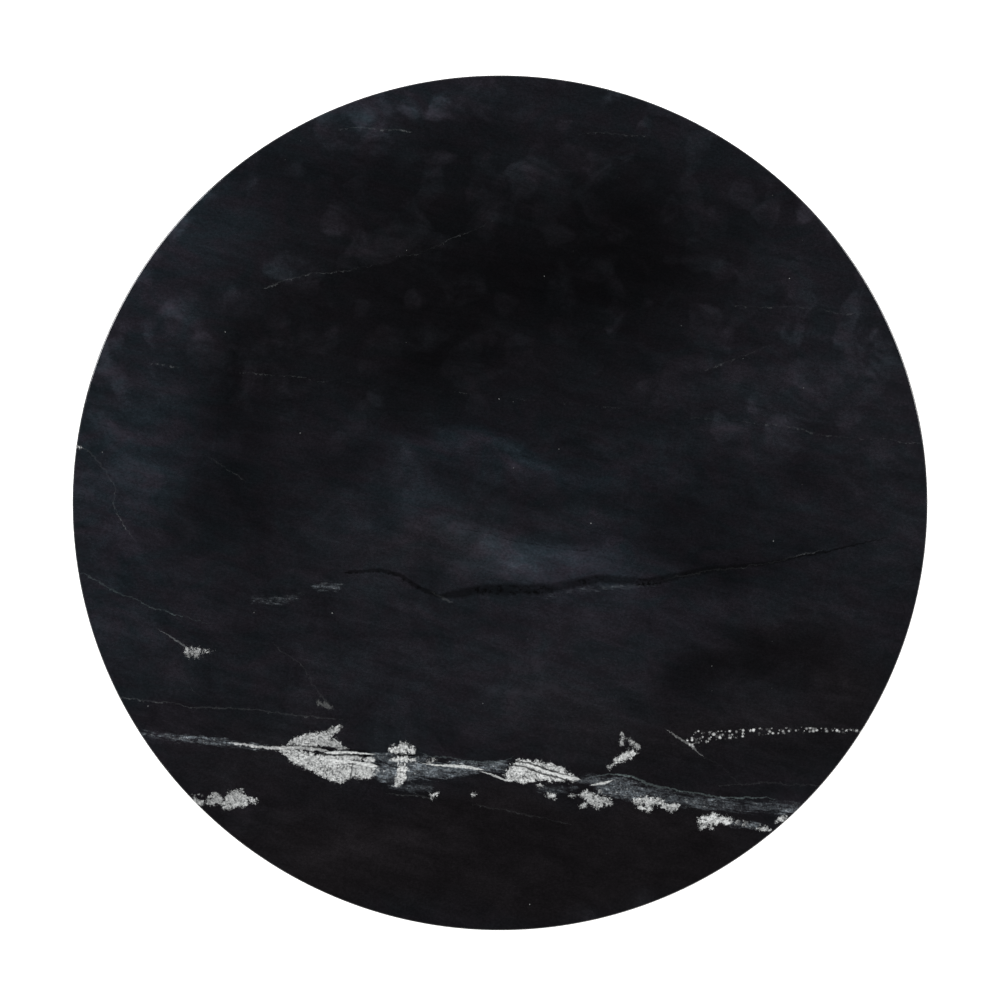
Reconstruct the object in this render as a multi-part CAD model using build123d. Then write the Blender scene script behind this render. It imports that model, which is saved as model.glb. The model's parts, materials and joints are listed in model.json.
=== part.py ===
from build123d import *
import math
import os

# Round pedestal table: an eased black marble disc, bonded to a plywood panel and screwed to four
# steel arms. The arms are bolted to a hub plate on a tubular column, and a tie rod pulls hub, column
# and cast-iron base together. A bell-shaped collar finishes each end of the column. The base stands
# on four levelling feet, each a threaded stud that turns in a pad.
#
# Millimetres, +Z up. The origin is on the floor, under the middle of the table.

# ---- Whole table ----
TABLE_HEIGHT = 760.0
TOP_RADIUS = 610.0
BASE_RADIUS = 380.0
COLUMN_RADIUS = 70.0

# ---- Fits ----
THREAD_GAP = 0.05  # between a plain-turned thread and its tapped hole
SLIP_GAP = 0.1  # between parts that slide together

# ---- Top: stone, net, panel ----
STONE_THICK = 20.0
STONE_TOP_ARRIS = 3.0
STONE_LOWER_ARRIS = 2.0
NET_THICK = 1.0
NET_SETBACK = 6.0
PANEL_THICK = 18.0
PANEL_RADIUS = 460.0
PANEL_BEVEL = 12.0
PANEL_HOLE_RADIUS = 42.0

# ---- Arms and hub ----
ARM_COUNT = 4
ARM_THICK = 8.0
ARM_ROOT = 56.0
ARM_ROOT_HALF_WIDTH = 36.0
ARM_TAPER_START = 240.0
ARM_TIP_RADIUS = 22.0
ARM_TIP = 365.0  # centre of the rounded tip
ARM_CORNER = 10.0
WEB_THICK = 8.0
WEB_END = 345.0
WEB_ROOT_DEPTH = 44.0
WEB_TIP_DEPTH = 9.0
WEB_CORNER = 10.0
HUB_RADIUS = 150.0
HUB_THICK = 16.0
HUB_EDGE = 2.0
WEB_ROOT_GAP = 0.3  # between the web's heel and the hub's rim
SPIGOT_HEIGHT = 10.0

# ---- Column and collars ----
TUBE_WALL = 4.0
COLLAR_HEIGHT = 97.0
COLLAR_MOUTH_RADIUS = 142.0
COLLAR_LIP = 6.0
COLLAR_NECK_WALL = 6.0
COLLAR_NECK_HEIGHT = 16.0
COLLAR_SHELL = 3.0
COLLAR_MOUTH_WALL = 6.0
COLLAR_EDGE = 1.5
COLLAR_BORE_GAP = 0.15
SET_SCREW_RADIUS = 3.0
SET_SCREW_COUNT = 3
SET_SCREW_HEIGHT = 8.0  # from the collar's narrow end
SET_SCREW_SOCKET = 3.0
SET_SCREW_SOCKET_DEPTH = 2.5

# ---- Base ----
BASE_CLEARANCE = 8.0  # under the rim
RIM_TOP = 30.0
SEAT_HEIGHT = 78.0
SEAT_RADIUS = 154.0
BASE_WALL = 10.0
RIM_WALL = 16.0
RIM_EDGE = 5.0
RIM_LOWER_EDGE = 2.0
BOSS_RADIUS = 78.0
BOSS_BOTTOM = 36.0
RIB_COUNT = 8
RIB_THICK = 9.0
CAVITY_CORNER = 5.0
COVER_THICK = 2.0
COVER_RADIUS = 368.0
COVER_REBATE = 3.0  # from the rim's lower face to the cover's
COVER_GAP = 0.5
COVER_CENTRE_HOLE = 32.0
COVER_FOOT_HOLE = 26.0
COVER_SCREW_CIRCLE = 220.0
COVER_SCREW_RADIUS = 2.5
COVER_SCREW_HEAD_RADIUS = 4.75
COVER_SCREW_HEAD = 2.6
COVER_SCREW_LENGTH = 12.0
COVER_SCREW_SOCKET = 3.0

# ---- Tie rod, M16 ----
ROD_RADIUS = 8.0
ROD_HOLE_RADIUS = 8.5
ROD_BEYOND_NUT = 3.5
ROD_CHAMFER = 1.5
NUT_FLATS = 24.0
NUT_HEIGHT = 13.0
SPRING_WASHER_RADIUS = 13.6
SPRING_WASHER_THICK = 3.5
SPRING_WASHER_SPLIT = 2.0
FLAT_WASHER_THICK = 3.0
UPPER_WASHER_RADIUS = 17.0
LOWER_WASHER_RADIUS = 25.0

# ---- Arm screws, M10 countersunk ----
ARM_SCREW_RADIUS = 5.0
ARM_SCREW_PLACES = (82.0, 124.0)
ARM_SCREW_LENGTH = 21.0
ARM_SCREW_HEAD_RADIUS = 10.0
ARM_SCREW_HEAD = 5.0
ARM_SCREW_SOCKET = 6.0
ARM_SCREW_SOCKET_DEPTH = 4.0
ARM_HOLE_RADIUS = 5.5
COUNTERSINK_GAP = 0.2

# ---- Top screws, M8 button head, with washers and inserts ----
TOP_SCREW_RADIUS = 4.0
TOP_SCREW_PLACES = ((215.0, 21.0), (215.0, -21.0), (ARM_TIP, 0.0))
TOP_SCREW_LENGTH = 25.0
TOP_SCREW_HEAD_RADIUS = 7.0
TOP_SCREW_HEAD = 4.4
TOP_SCREW_HEAD_ROUND = 2.6
TOP_SCREW_SOCKET = 5.0
TOP_SCREW_SOCKET_DEPTH = 2.6
TOP_WASHER_RADIUS = 8.0
TOP_WASHER_BORE = 4.3
TOP_WASHER_THICK = 1.6
TOP_HOLE_RADIUS = 4.5
INSERT_RADIUS = 6.0
INSERT_LENGTH = 13.0
INSERT_HOLE_DEPTH = 16.5

# ---- Levelling feet, M10 studs ----
FOOT_COUNT = 4
FOOT_CIRCLE = 315.0
FOOT_FIRST_ANGLE = 45.0
FOOT_BOSS_RADIUS = 17.0
FOOT_BOSS_BOTTOM = 24.0
FOOT_BORE_TOP = 49.5
FOOT_THREAD_GAP = 0.08
SOLE_RADIUS = 20.0
SOLE_THICK = 2.0
PAD_RADIUS = 21.0
PAD_THICK = 7.0
PAD_EDGE = 2.0
STUD_RADIUS = 5.0
STUD_TOP = 42.0
STUD_CHAMFER = 1.0
STUD_HEX_FLATS = 15.0
STUD_HEX_BOTTOM = 9.5
STUD_HEX_HEIGHT = 6.0
STUD_NECK_RADIUS = 6.0
STUD_FOOT_RADIUS = 7.4
STUD_FOOT_BOTTOM = 3.6
STUD_FOOT_HEIGHT = 2.8
PAD_GROOVE_GAP = 0.2

# ---- Heights worked out from those ----
STONE_UNDER = TABLE_HEIGHT - STONE_THICK
NET_UNDER = STONE_UNDER - NET_THICK
PANEL_UNDER = NET_UNDER - PANEL_THICK
HUB_TOP = PANEL_UNDER - ARM_THICK
HUB_UNDER = HUB_TOP - HUB_THICK
COVER_UNDER = BASE_CLEARANCE + COVER_REBATE
COVER_TOP = COVER_UNDER + COVER_THICK
TUBE_BORE = COLUMN_RADIUS - TUBE_WALL


# ---- Shapes used more than once ----
def outline(*corners):
    """A closed face in the XZ plane. Each corner is (x, z) or (x, z, rounding)."""
    face = make_face(Polyline(*[corner[:2] for corner in corners], close=True))
    for corner in corners:
        if len(corner) == 3:
            x, z, rounding = corner
            face = fillet(face.vertices().sort_by_distance((x, z))[0], rounding)
    return Plane.XZ * face


def turned(*corners):
    """A solid turned about Z from corners of (radius, height) or (radius, height, rounding)."""
    return revolve(outline(*corners), Axis.Z)


def upright(radius, bottom, top, place=(0.0, 0.0)):
    """A cylinder standing on the height bottom, at the given place in plan."""
    x, y = place
    shape = Cylinder(radius, top - bottom, align=(Align.CENTER, Align.CENTER, Align.MIN))
    return Pos(x, y, bottom) * shape


def ring(bore, radius, bottom, top):
    return upright(radius, bottom, top) - upright(bore, bottom, top)


def hexagon(flats, bottom, top, place=(0.0, 0.0)):
    """A hexagonal prism of the given width across flats."""
    x, y = place
    flat = RegularPolygon(flats / 2, side_count=6, major_radius=False)
    return Pos(x, y, bottom) * extrude(flat, top - bottom)


def around(part, count, first_angle=0.0):
    """Copies of a part, evenly spaced about Z."""
    step = 360.0 / count
    return [Rot(0, 0, first_angle + step * i) * part for i in range(count)]


def write(name, *shapes):
    """One STEP file for one sub-part: a single solid, or a group of like solids."""
    solids = [solid for shape in shapes for solid in shape.solids()]
    export_step(solids[0] if len(solids) == 1 else Compound(solids), f"parts/{name}.step")


# ---- Top ----
def stone_top():
    """The marble disc, with both arrises eased."""
    return turned(
        (0, STONE_UNDER),
        (TOP_RADIUS, STONE_UNDER, STONE_LOWER_ARRIS),
        (TOP_RADIUS, TABLE_HEIGHT, STONE_TOP_ARRIS),
        (0, TABLE_HEIGHT),
    )


def backing_net():
    """Glass-fibre net set in resin on the slab's underside."""
    return upright(TOP_RADIUS - NET_SETBACK, NET_UNDER, STONE_UNDER)


def sub_top():
    """Plywood panel with a bevelled lower edge, a hole for the tie nut and bores for the inserts."""
    panel = turned(
        (PANEL_HOLE_RADIUS, PANEL_UNDER),
        (PANEL_RADIUS - PANEL_BEVEL, PANEL_UNDER),
        (PANEL_RADIUS, PANEL_UNDER + PANEL_BEVEL),
        (PANEL_RADIUS, NET_UNDER),
        (PANEL_HOLE_RADIUS, NET_UNDER),
    )
    bores = [
        upright(INSERT_RADIUS + THREAD_GAP, PANEL_UNDER, PANEL_UNDER + INSERT_HOLE_DEPTH, place)
        for place in TOP_SCREW_PLACES
    ]
    return panel - [copy for bore in bores for copy in around(bore, ARM_COUNT)]


def sub_top_inserts():
    """Threaded inserts, flush with the panel's underside."""
    inserts = [
        upright(INSERT_RADIUS, PANEL_UNDER, PANEL_UNDER + INSERT_LENGTH, place)
        - upright(TOP_SCREW_RADIUS + THREAD_GAP, PANEL_UNDER, PANEL_UNDER + INSERT_LENGTH, place)
        for place in TOP_SCREW_PLACES
    ]
    return [copy for insert in inserts for copy in around(insert, ARM_COUNT)]


def top_washers():
    under = HUB_TOP - TOP_WASHER_THICK
    washers = [
        upright(TOP_WASHER_RADIUS, under, HUB_TOP, place)
        - upright(TOP_WASHER_BORE, under, HUB_TOP, place)
        for place in TOP_SCREW_PLACES
    ]
    return [copy for washer in washers for copy in around(washer, ARM_COUNT)]


def top_screws():
    """Button-head screws driven from below, head down."""
    bearing = HUB_TOP - TOP_WASHER_THICK
    screw = turned(
        (0, bearing - TOP_SCREW_HEAD),
        (TOP_SCREW_HEAD_RADIUS, bearing - TOP_SCREW_HEAD, TOP_SCREW_HEAD_ROUND),
        (TOP_SCREW_HEAD_RADIUS, bearing),
        (TOP_SCREW_RADIUS, bearing),
        (TOP_SCREW_RADIUS, bearing + TOP_SCREW_LENGTH),
        (0, bearing + TOP_SCREW_LENGTH),
    )
    low = bearing - TOP_SCREW_HEAD
    screw -= hexagon(TOP_SCREW_SOCKET, low, low + TOP_SCREW_SOCKET_DEPTH)
    placed = [Pos(x, y, 0) * screw for x, y in TOP_SCREW_PLACES]
    return [copy for one in placed for copy in around(one, ARM_COUNT)]


# ---- Arms and hub ----
def support_arm():
    """The arm along +X: a flat flange under the panel, with a tapering web below it."""
    taper = ARM_ROOT_HALF_WIDTH - ARM_TIP_RADIUS
    flange = make_face(
        Polyline(
            (ARM_ROOT, -ARM_ROOT_HALF_WIDTH),
            (ARM_TAPER_START, -ARM_ROOT_HALF_WIDTH),
            (ARM_TIP, taper - ARM_ROOT_HALF_WIDTH),
            (ARM_TIP, ARM_ROOT_HALF_WIDTH - taper),
            (ARM_TAPER_START, ARM_ROOT_HALF_WIDTH),
            (ARM_ROOT, ARM_ROOT_HALF_WIDTH),
            close=True,
        )
    )
    flange = fillet(flange.vertices().sort_by(Axis.X)[:2], ARM_CORNER)
    flange += Pos(ARM_TIP, 0) * Circle(ARM_TIP_RADIUS)
    arm = Pos(0, 0, HUB_TOP) * extrude(flange, ARM_THICK)
    heel = HUB_RADIUS + WEB_ROOT_GAP
    web = outline(
        (heel, HUB_TOP),
        (heel, HUB_TOP - WEB_ROOT_DEPTH, WEB_CORNER),
        (heel + 2 * WEB_CORNER, HUB_TOP - WEB_ROOT_DEPTH, WEB_CORNER),
        (WEB_END, HUB_TOP - WEB_TIP_DEPTH, WEB_CORNER / 2),
        (WEB_END, HUB_TOP),
    )
    arm += extrude(web, WEB_THICK / 2, both=True)
    for x, y in TOP_SCREW_PLACES:
        arm -= upright(TOP_HOLE_RADIUS, HUB_TOP, PANEL_UNDER, (x, y))
    for x in ARM_SCREW_PLACES:
        arm -= Pos(x, 0, 0) * countersink()
    return arm


def countersink():
    """The space that an arm screw takes in the flange, a little larger than the screw."""
    wide = ARM_SCREW_HEAD_RADIUS + 2 * COUNTERSINK_GAP
    cone_foot = PANEL_UNDER - (wide - ARM_HOLE_RADIUS)
    return turned(
        (0, HUB_TOP),
        (ARM_HOLE_RADIUS, HUB_TOP),
        (ARM_HOLE_RADIUS, cone_foot),
        (wide, PANEL_UNDER),
        (0, PANEL_UNDER),
    )


def arm_screws():
    """Countersunk screws that hold the arms on the hub plate, flush with the flange."""
    head_top = PANEL_UNDER - COUNTERSINK_GAP
    screw = turned(
        (0, PANEL_UNDER - ARM_SCREW_LENGTH),
        (ARM_SCREW_RADIUS, PANEL_UNDER - ARM_SCREW_LENGTH),
        (ARM_SCREW_RADIUS, head_top - ARM_SCREW_HEAD),
        (ARM_SCREW_HEAD_RADIUS, head_top),
        (0, head_top),
    )
    screw -= hexagon(ARM_SCREW_SOCKET, head_top - ARM_SCREW_SOCKET_DEPTH, head_top)
    placed = [Pos(x, 0, 0) * screw for x in ARM_SCREW_PLACES]
    return [copy for one in placed for copy in around(one, ARM_COUNT)]


def hub_plate():
    """Turned steel plate: arms on top, a spigot below that centres it in the column."""
    plate = turned(
        (ROD_HOLE_RADIUS, HUB_UNDER - SPIGOT_HEIGHT),
        (TUBE_BORE - SLIP_GAP, HUB_UNDER - SPIGOT_HEIGHT, HUB_EDGE),
        (TUBE_BORE - SLIP_GAP, HUB_UNDER),
        (HUB_RADIUS, HUB_UNDER, HUB_EDGE),
        (HUB_RADIUS, HUB_TOP, HUB_EDGE),
        (ROD_HOLE_RADIUS, HUB_TOP),
    )
    for x in ARM_SCREW_PLACES:
        tapped = upright(ARM_SCREW_RADIUS + THREAD_GAP, HUB_UNDER, HUB_TOP, (x, 0))
        plate -= around(tapped, ARM_COUNT)
    return plate


# ---- Column ----
def column_tube():
    return ring(TUBE_BORE, COLUMN_RADIUS, SEAT_HEIGHT, HUB_UNDER)


def collar():
    """A bell-shaped collar, narrow end down at height 0, without its set-screw holes."""
    bore = COLUMN_RADIUS + COLLAR_BORE_GAP
    neck = COLUMN_RADIUS + COLLAR_NECK_WALL
    inner_neck = neck - COLLAR_SHELL
    inner_mouth = COLLAR_MOUTH_RADIUS - COLLAR_MOUTH_WALL
    flare_top = COLLAR_HEIGHT - COLLAR_LIP
    up = (0, 1)
    face = make_face(
        [
            Polyline((inner_neck, COLLAR_NECK_HEIGHT), (bore, COLLAR_NECK_HEIGHT), (bore, 0)),
            Polyline((bore, 0), (neck, 0), (neck, COLLAR_LIP)),
            TangentArc((neck, COLLAR_LIP), (COLLAR_MOUTH_RADIUS, flare_top), tangent=up),
            Polyline((COLLAR_MOUTH_RADIUS, flare_top), (COLLAR_MOUTH_RADIUS, COLLAR_HEIGHT)),
            Line((COLLAR_MOUTH_RADIUS, COLLAR_HEIGHT), (inner_mouth, COLLAR_HEIGHT)),
            TangentArc((inner_neck, COLLAR_NECK_HEIGHT), (inner_mouth, COLLAR_HEIGHT), tangent=up),
        ]
    )
    lip = face.vertices().sort_by_distance((COLLAR_MOUTH_RADIUS, flare_top))[0]
    face = fillet(lip, COLLAR_EDGE)
    foot = face.vertices().sort_by_distance((neck, 0))[0]
    face = fillet(foot, COLLAR_EDGE)
    return revolve(Plane.XZ * face, Axis.Z)


def set_screw():
    """A socket set screw along +X, at the height it has in a collar whose narrow end is at 0."""
    bearing = COLUMN_RADIUS + COLLAR_BORE_GAP / 2
    length = COLLAR_NECK_WALL - COLLAR_EDGE / 3
    screw = upright(SET_SCREW_RADIUS, 0, length)
    screw -= hexagon(SET_SCREW_SOCKET, length - SET_SCREW_SOCKET_DEPTH, length)
    return Pos(bearing, 0, SET_SCREW_HEIGHT) * Rot(0, 90, 0) * screw


def drilled_collar():
    """The collar with its holes for the set screws."""
    hole = upright(SET_SCREW_RADIUS + THREAD_GAP, 0, COLUMN_RADIUS + 2 * COLLAR_NECK_WALL)
    hole = Pos(0, 0, SET_SCREW_HEIGHT) * Rot(0, 90, 0) * hole
    return collar() - around(hole, SET_SCREW_COUNT)


def at_hub(part):
    """Moves a collar part from its own frame to the column's head, mouth up."""
    return Pos(0, 0, HUB_UNDER - COLLAR_HEIGHT) * part


def at_base(part):
    """Turns a collar part over and moves it to the column's foot, mouth down."""
    return Pos(0, 0, SEAT_HEIGHT + COLLAR_HEIGHT) * Rot(180, 0, 0) * part


# ---- Tie rod ----
def tie_rod_ends():
    """The lower and upper ends of the rod."""
    lower = BOSS_BOTTOM - FLAT_WASHER_THICK - SPRING_WASHER_THICK - NUT_HEIGHT - ROD_BEYOND_NUT
    upper = HUB_TOP + FLAT_WASHER_THICK + SPRING_WASHER_THICK + NUT_HEIGHT + ROD_BEYOND_NUT
    return lower, upper


def tie_rod():
    lower, upper = tie_rod_ends()
    return turned(
        (0, lower),
        (ROD_RADIUS - ROD_CHAMFER, lower),
        (ROD_RADIUS, lower + ROD_CHAMFER),
        (ROD_RADIUS, upper - ROD_CHAMFER),
        (ROD_RADIUS - ROD_CHAMFER, upper),
        (0, upper),
    )


def nut(bottom):
    """A hexagon nut whose corners are chamfered at both faces."""
    corner = NUT_FLATS / math.sqrt(3)
    chamfer = corner - NUT_FLATS / 2
    envelope = turned(
        (ROD_RADIUS + THREAD_GAP, bottom),
        (NUT_FLATS / 2, bottom),
        (corner, bottom + chamfer / 2),
        (corner, bottom + NUT_HEIGHT - chamfer / 2),
        (NUT_FLATS / 2, bottom + NUT_HEIGHT),
        (ROD_RADIUS + THREAD_GAP, bottom + NUT_HEIGHT),
    )
    return envelope & hexagon(NUT_FLATS, bottom, bottom + NUT_HEIGHT)


def spring_washer(bottom):
    """A split washer, pressed flat."""
    washer = ring(ROD_HOLE_RADIUS, SPRING_WASHER_RADIUS, bottom, bottom + SPRING_WASHER_THICK)
    split = Box(SPRING_WASHER_RADIUS, SPRING_WASHER_SPLIT, SPRING_WASHER_THICK)
    return washer - Pos(SPRING_WASHER_RADIUS, 0, bottom + SPRING_WASHER_THICK / 2) * split


# ---- Base ----
def dome_height(radius, wall=0.0):
    """Height of the base's domed top at a radius, or of a surface wall below it."""
    rise = SEAT_HEIGHT - RIM_TOP
    run = BASE_RADIUS - SEAT_RADIUS
    dome = (run**2 + rise**2) / (2 * rise)
    return SEAT_HEIGHT - dome + math.sqrt((dome - wall) ** 2 - (radius - SEAT_RADIUS) ** 2)


def base_body():
    """The base's outside as one turned solid, with the spigot that centres the column."""
    spigot = TUBE_BORE - SLIP_GAP
    spigot_top = SEAT_HEIGHT + SPIGOT_HEIGHT
    face = make_face(
        [
            Polyline((ROD_HOLE_RADIUS, BASE_CLEARANCE), (ROD_HOLE_RADIUS, spigot_top)),
            Polyline((ROD_HOLE_RADIUS, spigot_top), (spigot, spigot_top), (spigot, SEAT_HEIGHT)),
            Line((spigot, SEAT_HEIGHT), (SEAT_RADIUS, SEAT_HEIGHT)),
            TangentArc((SEAT_RADIUS, SEAT_HEIGHT), (BASE_RADIUS, RIM_TOP), tangent=(1, 0)),
            Line((BASE_RADIUS, RIM_TOP), (BASE_RADIUS, BASE_CLEARANCE)),
            Line((BASE_RADIUS, BASE_CLEARANCE), (ROD_HOLE_RADIUS, BASE_CLEARANCE)),
        ]
    )
    for corner, rounding in (
        ((BASE_RADIUS, RIM_TOP), RIM_EDGE),
        ((BASE_RADIUS, BASE_CLEARANCE), RIM_LOWER_EDGE),
        ((spigot, spigot_top), HUB_EDGE),
    ):
        face = fillet(face.vertices().sort_by_distance(corner)[0], rounding)
    return revolve(Plane.XZ * face, Axis.Z)


def base_cavity():
    """The space inside the base, less its ribs and the bosses for the feet."""
    rim = BASE_RADIUS - RIM_WALL
    roof = SEAT_HEIGHT - BASE_WALL
    face = make_face(
        [
            Polyline((rim, COVER_TOP), (BOSS_RADIUS, COVER_TOP), (BOSS_RADIUS, roof)),
            Line((BOSS_RADIUS, roof), (SEAT_RADIUS, roof)),
            TangentArc((SEAT_RADIUS, roof), (rim, dome_height(rim, BASE_WALL)), tangent=(1, 0)),
            Line((rim, dome_height(rim, BASE_WALL)), (rim, COVER_TOP)),
        ]
    )
    for corner in ((BOSS_RADIUS, roof), (rim, dome_height(rim, BASE_WALL))):
        face = fillet(face.vertices().sort_by_distance(corner)[0], CAVITY_CORNER)
    cavity = revolve(Plane.XZ * face, Axis.Z)
    rib = Box(BASE_RADIUS, RIB_THICK, SEAT_HEIGHT, align=(Align.MIN, Align.CENTER, Align.MIN))
    cavity -= around(rib, RIB_COUNT, 180.0 / RIB_COUNT)
    boss = upright(FOOT_BOSS_RADIUS, FOOT_BOSS_BOTTOM, SEAT_HEIGHT, (FOOT_CIRCLE, 0))
    return cavity - around(boss, FOOT_COUNT, FOOT_FIRST_ANGLE)


def base_casting():
    """Cast-iron base: a domed top on a deep rim, ribbed underneath, with tapped bosses."""
    rebate = COVER_RADIUS + COVER_GAP
    base = base_body() - base_cavity()
    base -= upright(rebate, BASE_CLEARANCE, COVER_TOP)
    base -= upright(BOSS_RADIUS, COVER_TOP, BOSS_BOTTOM)
    tap = upright(STUD_RADIUS + FOOT_THREAD_GAP, FOOT_BOSS_BOTTOM, FOOT_BORE_TOP, (FOOT_CIRCLE, 0))
    base -= around(tap, FOOT_COUNT, FOOT_FIRST_ANGLE)
    depth = COVER_TOP + COVER_SCREW_LENGTH
    cover_tap = upright(COVER_SCREW_RADIUS + THREAD_GAP, COVER_TOP, depth, (COVER_SCREW_CIRCLE, 0))
    return base - around(cover_tap, RIB_COUNT, 180.0 / RIB_COUNT)


def base_cover():
    """Sheet-steel disc that closes the base, with holes for the tie nut, feet and screws."""
    cover = ring(COVER_CENTRE_HOLE, COVER_RADIUS, COVER_UNDER, COVER_TOP)
    foot_hole = upright(COVER_FOOT_HOLE, COVER_UNDER, COVER_TOP, (FOOT_CIRCLE, 0))
    cover -= around(foot_hole, FOOT_COUNT, FOOT_FIRST_ANGLE)
    radius = COVER_SCREW_RADIUS + SLIP_GAP
    screw_hole = upright(radius, COVER_UNDER, COVER_TOP, (COVER_SCREW_CIRCLE, 0))
    return cover - around(screw_hole, RIB_COUNT, 180.0 / RIB_COUNT)


def cover_screws():
    """Pan-head socket screws, head down, into the base's ribs."""
    low = COVER_UNDER - COVER_SCREW_HEAD
    screw = turned(
        (0, low),
        (COVER_SCREW_HEAD_RADIUS, low, COVER_SCREW_HEAD / 2),
        (COVER_SCREW_HEAD_RADIUS, COVER_UNDER),
        (COVER_SCREW_RADIUS, COVER_UNDER),
        (COVER_SCREW_RADIUS, COVER_UNDER + COVER_SCREW_LENGTH),
        (0, COVER_UNDER + COVER_SCREW_LENGTH),
    )
    screw -= hexagon(COVER_SCREW_SOCKET, low, low + COVER_SCREW_HEAD / 2)
    return around(Pos(COVER_SCREW_CIRCLE, 0, 0) * screw, RIB_COUNT, 180.0 / RIB_COUNT)


# ---- Levelling feet, each made on the Z axis ----
def leveller_stud():
    """Threaded stud with a hexagon for the spanner and a headed foot that turns in the pad."""
    foot_top = STUD_FOOT_BOTTOM + STUD_FOOT_HEIGHT
    hex_top = STUD_HEX_BOTTOM + STUD_HEX_HEIGHT
    spindle = turned(
        (0, STUD_FOOT_BOTTOM),
        (STUD_FOOT_RADIUS, STUD_FOOT_BOTTOM),
        (STUD_FOOT_RADIUS, foot_top),
        (STUD_NECK_RADIUS, foot_top),
        (STUD_NECK_RADIUS, STUD_HEX_BOTTOM),
        (STUD_RADIUS, STUD_HEX_BOTTOM),
        (STUD_RADIUS, STUD_TOP - STUD_CHAMFER),
        (STUD_RADIUS - STUD_CHAMFER, STUD_TOP),
        (0, STUD_TOP),
    )
    return spindle + hexagon(STUD_HEX_FLATS, STUD_HEX_BOTTOM, hex_top)


def leveller_pad():
    """Nylon pad with the undercut socket that the stud's foot snaps into."""
    groove_bottom = STUD_FOOT_BOTTOM - PAD_GROOVE_GAP
    groove_top = STUD_FOOT_BOTTOM + STUD_FOOT_HEIGHT + PAD_GROOVE_GAP
    pad_top = SOLE_THICK + PAD_THICK
    groove = STUD_FOOT_RADIUS + PAD_GROOVE_GAP
    return turned(
        (0, SOLE_THICK),
        (PAD_RADIUS, SOLE_THICK),
        (PAD_RADIUS, pad_top, PAD_EDGE),
        (STUD_NECK_RADIUS + SLIP_GAP, pad_top),
        (STUD_NECK_RADIUS + SLIP_GAP, groove_top),
        (groove, groove_top),
        (groove, groove_bottom),
        (0, groove_bottom),
    )


def leveller_sole():
    """Rubber sole bonded under the pad; its lower face is on the floor."""
    return upright(SOLE_RADIUS, 0, SOLE_THICK)


# ---- Write every sub-part ----
os.makedirs("parts", exist_ok=True)

write("stone_top", stone_top())
write("backing_net", backing_net())
write("sub_top", sub_top())
write("sub_top_inserts", *sub_top_inserts())
write("top_washers", *top_washers())
write("top_screws", *top_screws())

for number, arm in enumerate(around(support_arm(), ARM_COUNT), 1):
    write(f"support_arm_{number}", arm)
write("arm_screws", *arm_screws())
write("hub_plate", hub_plate())

write("column_tube", column_tube())
write("upper_collar", at_hub(drilled_collar()))
write("lower_collar", at_base(drilled_collar()))
write(
    "collar_set_screws",
    *[at_hub(screw) for screw in around(set_screw(), SET_SCREW_COUNT)],
    *[at_base(screw) for screw in around(set_screw(), SET_SCREW_COUNT)],
)

write("tie_rod", tie_rod())
write("upper_flat_washer", ring(ROD_HOLE_RADIUS, UPPER_WASHER_RADIUS, HUB_TOP, HUB_TOP + FLAT_WASHER_THICK))
write("upper_spring_washer", spring_washer(HUB_TOP + FLAT_WASHER_THICK))
write("upper_tie_nut", nut(HUB_TOP + FLAT_WASHER_THICK + SPRING_WASHER_THICK))
lower_washer_bottom = BOSS_BOTTOM - FLAT_WASHER_THICK
write("lower_flat_washer", ring(ROD_HOLE_RADIUS, LOWER_WASHER_RADIUS, lower_washer_bottom, BOSS_BOTTOM))
write("lower_spring_washer", spring_washer(lower_washer_bottom - SPRING_WASHER_THICK))
write("lower_tie_nut", nut(lower_washer_bottom - SPRING_WASHER_THICK - NUT_HEIGHT))

write("base_casting", base_casting())
write("base_cover", base_cover())
write("cover_screws", *cover_screws())

for kind, part in (("stud", leveller_stud()), ("pad", leveller_pad()), ("sole", leveller_sole())):
    placed = around(Pos(FOOT_CIRCLE, 0, 0) * part, FOOT_COUNT, FOOT_FIRST_ANGLE)
    for number, foot in enumerate(placed, 1):
        write(f"leveller_{kind}_{number}", foot)
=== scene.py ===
import json
import math

import bpy
import numpy as np
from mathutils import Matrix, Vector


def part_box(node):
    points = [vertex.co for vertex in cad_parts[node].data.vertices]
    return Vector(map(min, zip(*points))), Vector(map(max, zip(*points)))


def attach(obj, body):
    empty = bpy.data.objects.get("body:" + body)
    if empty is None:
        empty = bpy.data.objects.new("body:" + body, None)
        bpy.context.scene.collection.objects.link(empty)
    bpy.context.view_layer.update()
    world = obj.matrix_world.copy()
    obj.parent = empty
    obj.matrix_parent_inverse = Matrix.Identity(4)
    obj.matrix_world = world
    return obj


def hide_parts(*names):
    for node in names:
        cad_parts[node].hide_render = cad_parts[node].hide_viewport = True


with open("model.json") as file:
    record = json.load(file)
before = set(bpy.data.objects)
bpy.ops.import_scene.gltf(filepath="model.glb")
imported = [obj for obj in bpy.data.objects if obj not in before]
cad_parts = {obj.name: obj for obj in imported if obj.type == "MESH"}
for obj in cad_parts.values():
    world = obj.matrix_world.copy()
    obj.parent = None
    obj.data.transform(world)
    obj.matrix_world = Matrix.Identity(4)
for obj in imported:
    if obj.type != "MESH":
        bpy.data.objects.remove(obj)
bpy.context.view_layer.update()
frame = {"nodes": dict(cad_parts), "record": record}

bl_info = {
    "name": "Round pedestal table",
    "version": (1, 0, 0),
    "blender": (4, 5, 0),
    "location": "3D View > Sidebar > Table",
    "description": "Dresses a round stone pedestal table and sets up its studio",
    "category": "Object",
}

MM = 0.001
TABLE = "table"  # the body that everything but the levelling feet belongs to
FEET = (1, 2, 3, 4)

# ---- Sizes taken from the frame ----
SLAB_LOW, SLAB_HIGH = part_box("stone_top")
PANEL_LOW, PANEL_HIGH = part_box("sub_top")
ROD_LOW, ROD_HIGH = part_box("tie_rod")

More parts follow.
